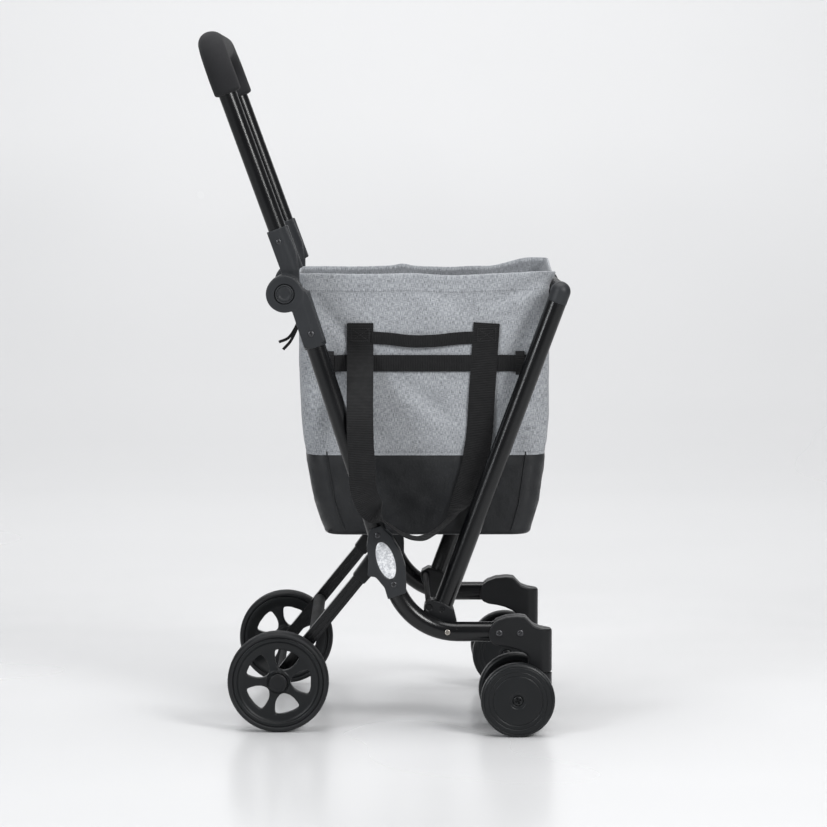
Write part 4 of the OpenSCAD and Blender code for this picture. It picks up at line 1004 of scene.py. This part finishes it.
# %% Piped edges
PIPING_R = 1.25 * MM
cord_round = np.linspace(0, 2 * math.pi, 10, endpoint=False)
cord_section = PIPING_R * np.stack([np.cos(cord_round), np.sin(cord_round)], 1)
PANEL_ENDS = ((1, 1, 0.5), (-1, 1, 0.5), (-1, -1, 1.5), (1, -1, 1.5))  # each as SX, SY and FACING / pi
for index, (end_x, end_y, facing) in enumerate(PANEL_ENDS):
    column = int(np.argmin(np.abs(SX[0] - end_x) + np.abs(SY[0] - end_y)
                           + 0.1 * np.abs(FACING[0] - facing * math.pi)))
    edge_line = bag_wall(low_rows, 0.1 * MM)[:, column]
    piping = swept(f"piping_{index}", edge_line, [1, 0, 0], cord_section, coated)
    with_the_bag(piping)
print("bag faces", len(upper_cloth.data.polygons), len(lower_cloth.data.polygons))

# %% [markdown]
# ## Stitches
#
# One row of thread holds the hem and one holds the seam. A stitch is a tiny pillow, six points
# round and four long, laid along the wall: one small grid, repeated for every place at once.


# %% Rows of stitches
def stitches(name, path, outward, finish=None, length=2.4 * MM, pitch=3.4 * MM, thick=0.34 * MM):
    """Little pillows laid along a path, each standing out along outward. Path and outward are arrays."""
    way = np.concatenate([[0], np.cumsum(np.linalg.norm(np.diff(path, axis=0), axis=1))])
    places = np.arange(pitch, way[-1] - pitch, pitch)
    centre = np.stack([np.interp(places, way, path[:, c]) for c in range(3)], 1)
    ahead = unit(np.stack([np.interp(places + 1e-4, way, path[:, c]) for c in range(3)], 1) - centre)
    out = unit(np.stack([np.interp(places, way, outward[:, c]) for c in range(3)], 1))
    side = np.cross(ahead, out)
    t = np.linspace(-1, 1, 5)
    girth = np.sqrt(np.clip(1 - t**4, 0.0, 1))
    ring = np.linspace(0, 2 * math.pi, 6, endpoint=False)
    local = np.stack(np.broadcast_arrays(t[:, None] * length / 2, thick * girth[:, None] * np.cos(ring),
                                         thick * girth[:, None] * np.sin(ring)), -1).reshape(-1, 3)
    grid = (centre[:, None] + local[None, :, :1] * ahead[:, None] + local[None, :, 1:2] * side[:, None]
            + local[None, :, 2:] * out[:, None])
    face = quads(5, 6, False, True)
    faces = (face[None] + 30 * np.arange(len(centre))[:, None, None]).reshape(-1, 4)
    return piece(name, grid, faces, finish or grey_thread, sharp=80)


def wall_line(height, off=0.3 * MM):
    """One ring of the wall at a height, and the way it faces there."""
    ring = bag_wall(np.array([[height]]), -0.5 * MM - off)[0]
    out = np.stack([np.cos(FACING[0]), np.sin(FACING[0]), 0 * FACING[0]], 1)
    return np.vstack([ring, ring[:1]]), np.vstack([out, out[:1]])


for name, height in (("hem_stitches", RIM - 24 * MM), ("seam_stitches", SEAM + 2 * MM)):
    ring, out = wall_line(height)
    row = stitches(name, ring, out)
    with_the_bag(row)

# %% [markdown]
# ## Sleeves that hang the bag
#
# The bag's back edge hangs on the tube between the hinges and its front edge on the front frame's
# top bar. Each sleeve is a strip of cloth that runs up, over the bar and down again. In the side
# view it's a curve with a thickness, carried across the trolley, so it's made as a closed outline.


# %% Cloth sleeves
def ribbon(name, line, y_from, y_to, thick, finish, rows=72, slack=0.8 * MM):
    """A strip of cloth: a side-view curve [x, z] given a thickness and carried along Y, with slow waves."""
    curve = smooth_through(line, 64)
    way = unit(np.gradient(curve, axis=0))
    normal = np.stack([-way[:, 1], way[:, 0]], 1)
    outline = np.concatenate([curve + normal * thick / 2, (curve - normal * thick / 2)[::-1]])
    y = np.linspace(y_from, y_to, rows)[:, None]
    around = len(outline)
    move = slack * ripple(y * 3, outline[None, :, 1], 17, 0.12)
    grid = np.stack(np.broadcast_arrays(
        outline[None, :, 0] + move * 0.6, y, outline[None, :, 1] + 0.2 * move), -1)
    length = np.concatenate([[0], np.cumsum(np.linalg.norm(np.diff(outline, axis=0), axis=1))])
    uv = np.stack(np.broadcast_arrays(y, length[None, :]), -1)
    caps = (list(range(around))[::-1], [(rows - 1) * around + c for c in range(around)])
    return piece(name, grid, quads(rows, around, False, True), finish, uv, caps=caps, sharp=60)


def arc(centre, radius, start, end, count=9):
    """Side-view points round a centre, between two angles in degrees from ahead, upwards."""
    a = np.radians(np.linspace(start, end, count))[:, None]
    return centre + radius * np.concatenate([np.cos(a), np.sin(a)], 1)


bar_box, back_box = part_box("front_top_bar"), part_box("back_cross_tube")
top_bar = np.array([(bar_box[0][0] + bar_box[1][0]) / 2, (bar_box[0][2] + bar_box[1][2]) / 2])
top_r = (bar_box[1][2] - bar_box[0][2]) / 2
back_r = (back_box[1][2] - back_box[0][2]) / 2
SLEEVE_HALF, SLEEVE_T, SLEEVE_LIFT = 104 * MM, 1.8 * MM, 1.6 * MM
front_line = np.vstack([
    np.array([BAG_FRONT, top_bar[1]]) + np.array([[1.6, -52], [1.8, -24]]) * MM,
    arc(top_bar, top_r + SLEEVE_LIFT, 190, -60, 14),
    np.array([BAG_FRONT, top_bar[1]]) + np.array([[8.5, -20], [4.6, -44]]) * MM])
front_sleeve = ribbon("front_sleeve", front_line, -SLEEVE_HALF, SLEEVE_HALF, SLEEVE_T, coated)
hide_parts("bag_front_sleeve")
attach(front_sleeve, "front_frame")
back_line = np.vstack([
    np.array([BAG_BACK, hinge[1]]) + np.array([[-1.4, -48], [-1.8, -22]]) * MM,
    arc(hinge, back_r + SLEEVE_LIFT, -10, 240, 14),
    np.array([BAG_BACK, hinge[1]]) + np.array([[-6.0, -24], [-3.8, -44]]) * MM])
back_sleeve = ribbon("back_sleeve", back_line, -SLEEVE_HALF, SLEEVE_HALF, SLEEVE_T, coated)
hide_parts("bag_rim_hem")
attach(back_sleeve, "chassis")
print("sleeves", len(front_sleeve.data.polygons))

# %% [markdown]
# ## Carrying straps and bands
#
# Black webbing runs from high on the bag's side, outside the side tube and its bracket, round
# under the frame and up again at the front: it's one long strap on each side. A narrow band above and
# a wider band below run along the bag. A short keeper of the same webbing lies over each end of the
# wide band, beside the tubes. Each strap is a flat strip carried along a curve, and the long one
# turns as it goes. The curves could be drawn by hand in the viewport, but as points measured from
# the bag's wall they follow it wherever it bulges.


# %% Webbing
def bag_side(x, z, out, off):
    """A point on the bag's side wall at x and z, off metres outside it. out is +1 for the left side."""
    row = bag_wall(np.array([[z]]), 0.0)[0]
    half = (np.sin(FACING[0]) * out > 0.99)
    order = np.argsort(row[half, 0])
    return [x, out * (np.interp(x, row[half, 0][order], np.abs(row[half, 1][order])) + off), z]


STRAP_BACK, STRAP_FRONT = -34.7 * MM, 147.8 * MM  # the middles of the strap's two upright parts
STRAP_W, GRAB_W, BAND_W, WEBBING_T, BAND_Z = 38 * MM, 18 * MM, 24 * MM, 1.9 * MM, 525 * MM
for side, out in (("left", 1), ("right", -1)):
    x1, x2 = STRAP_BACK, STRAP_FRONT
    outer, turn_y = BRACKET_OUT + 4 * MM, BRACKET_OUT + 18 * MM
    low = np.array([bracket[0], BOTTOM])
    route = [[x1, 130, 583], [x1, 131.4, 547], [x1, 170, 503], [x1, 213, 453], [x1 + .002, 219, 395],
             [x1 + .0085, 221, 340]]
    route = [[p[0], p[1] * MM, p[2] * MM] for p in route]
    route += [[low[0] + dx * MM, outer_y, low[1] + dz * MM] for dx, outer_y, dz in (
        (-18, outer + 9 * MM, 49), (-7, turn_y, 37), (6, turn_y - 2 * MM, 28), (20, turn_y - 8 * MM, 18),
        (34, turn_y - 18 * MM, 11), (48, turn_y - 29 * MM, 8), (63, turn_y - 42 * MM, 11), (80, 175 * MM, 20),
        (97, 158 * MM, 34), (109, 145 * MM, 50))]
    route += [[x2 - .026, .137, low[1] + .072], [x2 - .013, .1335, .403], [x2 - .006, .1325, .493],
              [x2, .1300, .583]]
    route = np.array(route) * [1, out, 1]
    turning = np.array([[1, 0, 0]] * 6 + [[0.9, 0.35, 0], [0.4, 0.9, 0]] + [[0, 1, 0]] * 5
                       + [[0, 1, 0], [0.1, 1, 0], [0.75, 0.6, 0]] + [[1, 0, 0]] * 4, float) * [1, out, 1]
    knots = np.concatenate([[0], np.cumsum(np.linalg.norm(np.diff(route, axis=0), axis=1))])
    even = np.linspace(0, knots[-1], 60)
    turning = np.stack([np.interp(even, knots, turning[:, c]) for c in range(3)], 1)
    strap = tape("carry_strap_" + side, route, turning, STRAP_W, WEBBING_T, webbing, 220)
    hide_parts("bag_carry_loops")
    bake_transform(strap)

    upper = [bag_side(x1 + .016, .5620, out, 2.2 * MM), bag_side(x1 + .040, .5605, out, 4.5 * MM),
             bag_side(x1 + .075, .5570, out, 7.5 * MM), bag_side(x1 + .105, .5575, out, 7.0 * MM),
             bag_side(x2 - .040, .5610, out, 4.0 * MM), bag_side(x2 - .015, .5620, out, 2.2 * MM)]
    grab = tape("grab_band_" + side, upper, [0, 0, 1], GRAB_W, WEBBING_T, webbing, 70)
    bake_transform(grab)

    band = [bag_side(x * MM, BAND_Z, out, off * MM) for x, off in (
        (-98, 2.6), (-90, 3.0), (-81, 5.5), (-76, 8.0), (-70, 7.6), (-64, 4.6), (-56, 3.2), (-35, 2.8),
        (0, 3.0), (40, 3.4), (80, 3.4), (120, 3.0), (148, 2.8), (168, 3.0), (180, 4.2), (187, 7.4),
        (193, 8.0), (199, 5.6), (207, 3.0))]
    middle = tape("side_band_" + side, band, [0, 0, 1], BAND_W, WEBBING_T, webbing, 260)
    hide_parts("bag_side_straps")
    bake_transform(middle)

    for end_index, keeper_x in enumerate((-79 * MM, 196 * MM)):
        keeper_line = [bag_side(keeper_x, BAND_Z + dz * MM, out, off * MM) for dz, off in (
            (-16.5, 1.6), (-15, 4.0), (-11, 9.0), (0, 10.6), (11, 9.0), (15, 4.0), (16.5, 1.6))]
        keeper_name = f"band_keeper_{side}_{end_index}"
        keeper = tape(keeper_name, keeper_line, [1, 0, 0], 13 * MM, 1.7 * MM, webbing, 40)
        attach(keeper, "chassis" if end_index == 0 else "front_frame")
print("straps done")

# %% [markdown]
# ## Loose tails
#
# Two thin tails of spare webbing hang out behind the right side tube, just below the hinge. They
# are short tapes that start on the tube's inner side and curl away from it, downwards and backwards.


# %% Webbing tails
TAILS = [  # [x, inwards from the side tube's plane, z] along each tail, in millimetres
    [[-122, 9, 590], [-128, 11, 577], [-137, 11, 565], [-150, 9, 559.5]],
    [[-121, 5, 588], [-127, 7, 573], [-134, 8, 560], [-144, 6, 549]]]
for index, tail_points in enumerate(TAILS):
    tail_route = np.array(tail_points) * MM + [0, -SIDE_Y, 0]
    tail = tape(f"strap_tail_{index}", tail_route, [0.5, -0.6, -0.6], 4.6 * MM, 1.5 * MM, webbing, 30)
    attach(tail, "chassis")

# %% [markdown]
# ## Box stitches
#
# Where a strap is sewn to the bag there's a square of thread with a cross in it. Each is one path of
# stitches that goes round the square and along both diagonals.


# %% Sewn squares
def box_stitch(name, x, z, wide, high, out):
    """Stitches along a square's sides and both diagonals, laid on the strap over the bag's wall."""
    w, h = wide / 2, high / 2
    corners = [(-w, -h), (w, -h), (w, h), (-w, h), (-w, -h), (w, h), (w, -h), (-w, h)]
    route = np.array([bag_side(x + u, z + v, out, 0) for u, v in corners])
    route[:, 1] += out * BOX_OFF
    fine = np.concatenate([np.linspace(p, q, 30, endpoint=False) for p, q in zip(route[:-1], route[1:])])
    row = stitches(name, fine, np.broadcast_to([0.0, out, 0.0], fine.shape), black_thread, 2.2 * MM, 3.0 * MM)
    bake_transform(row)


BOX_OFF = 6.2 * MM
for side, out in (("left", 1), ("right", -1)):
    for place, x in (("back", STRAP_BACK), ("front", STRAP_FRONT)):
        box_stitch(f"box_stitch_{side}_{place}", x, 566 * MM, 26 * MM, 18 * MM, out)
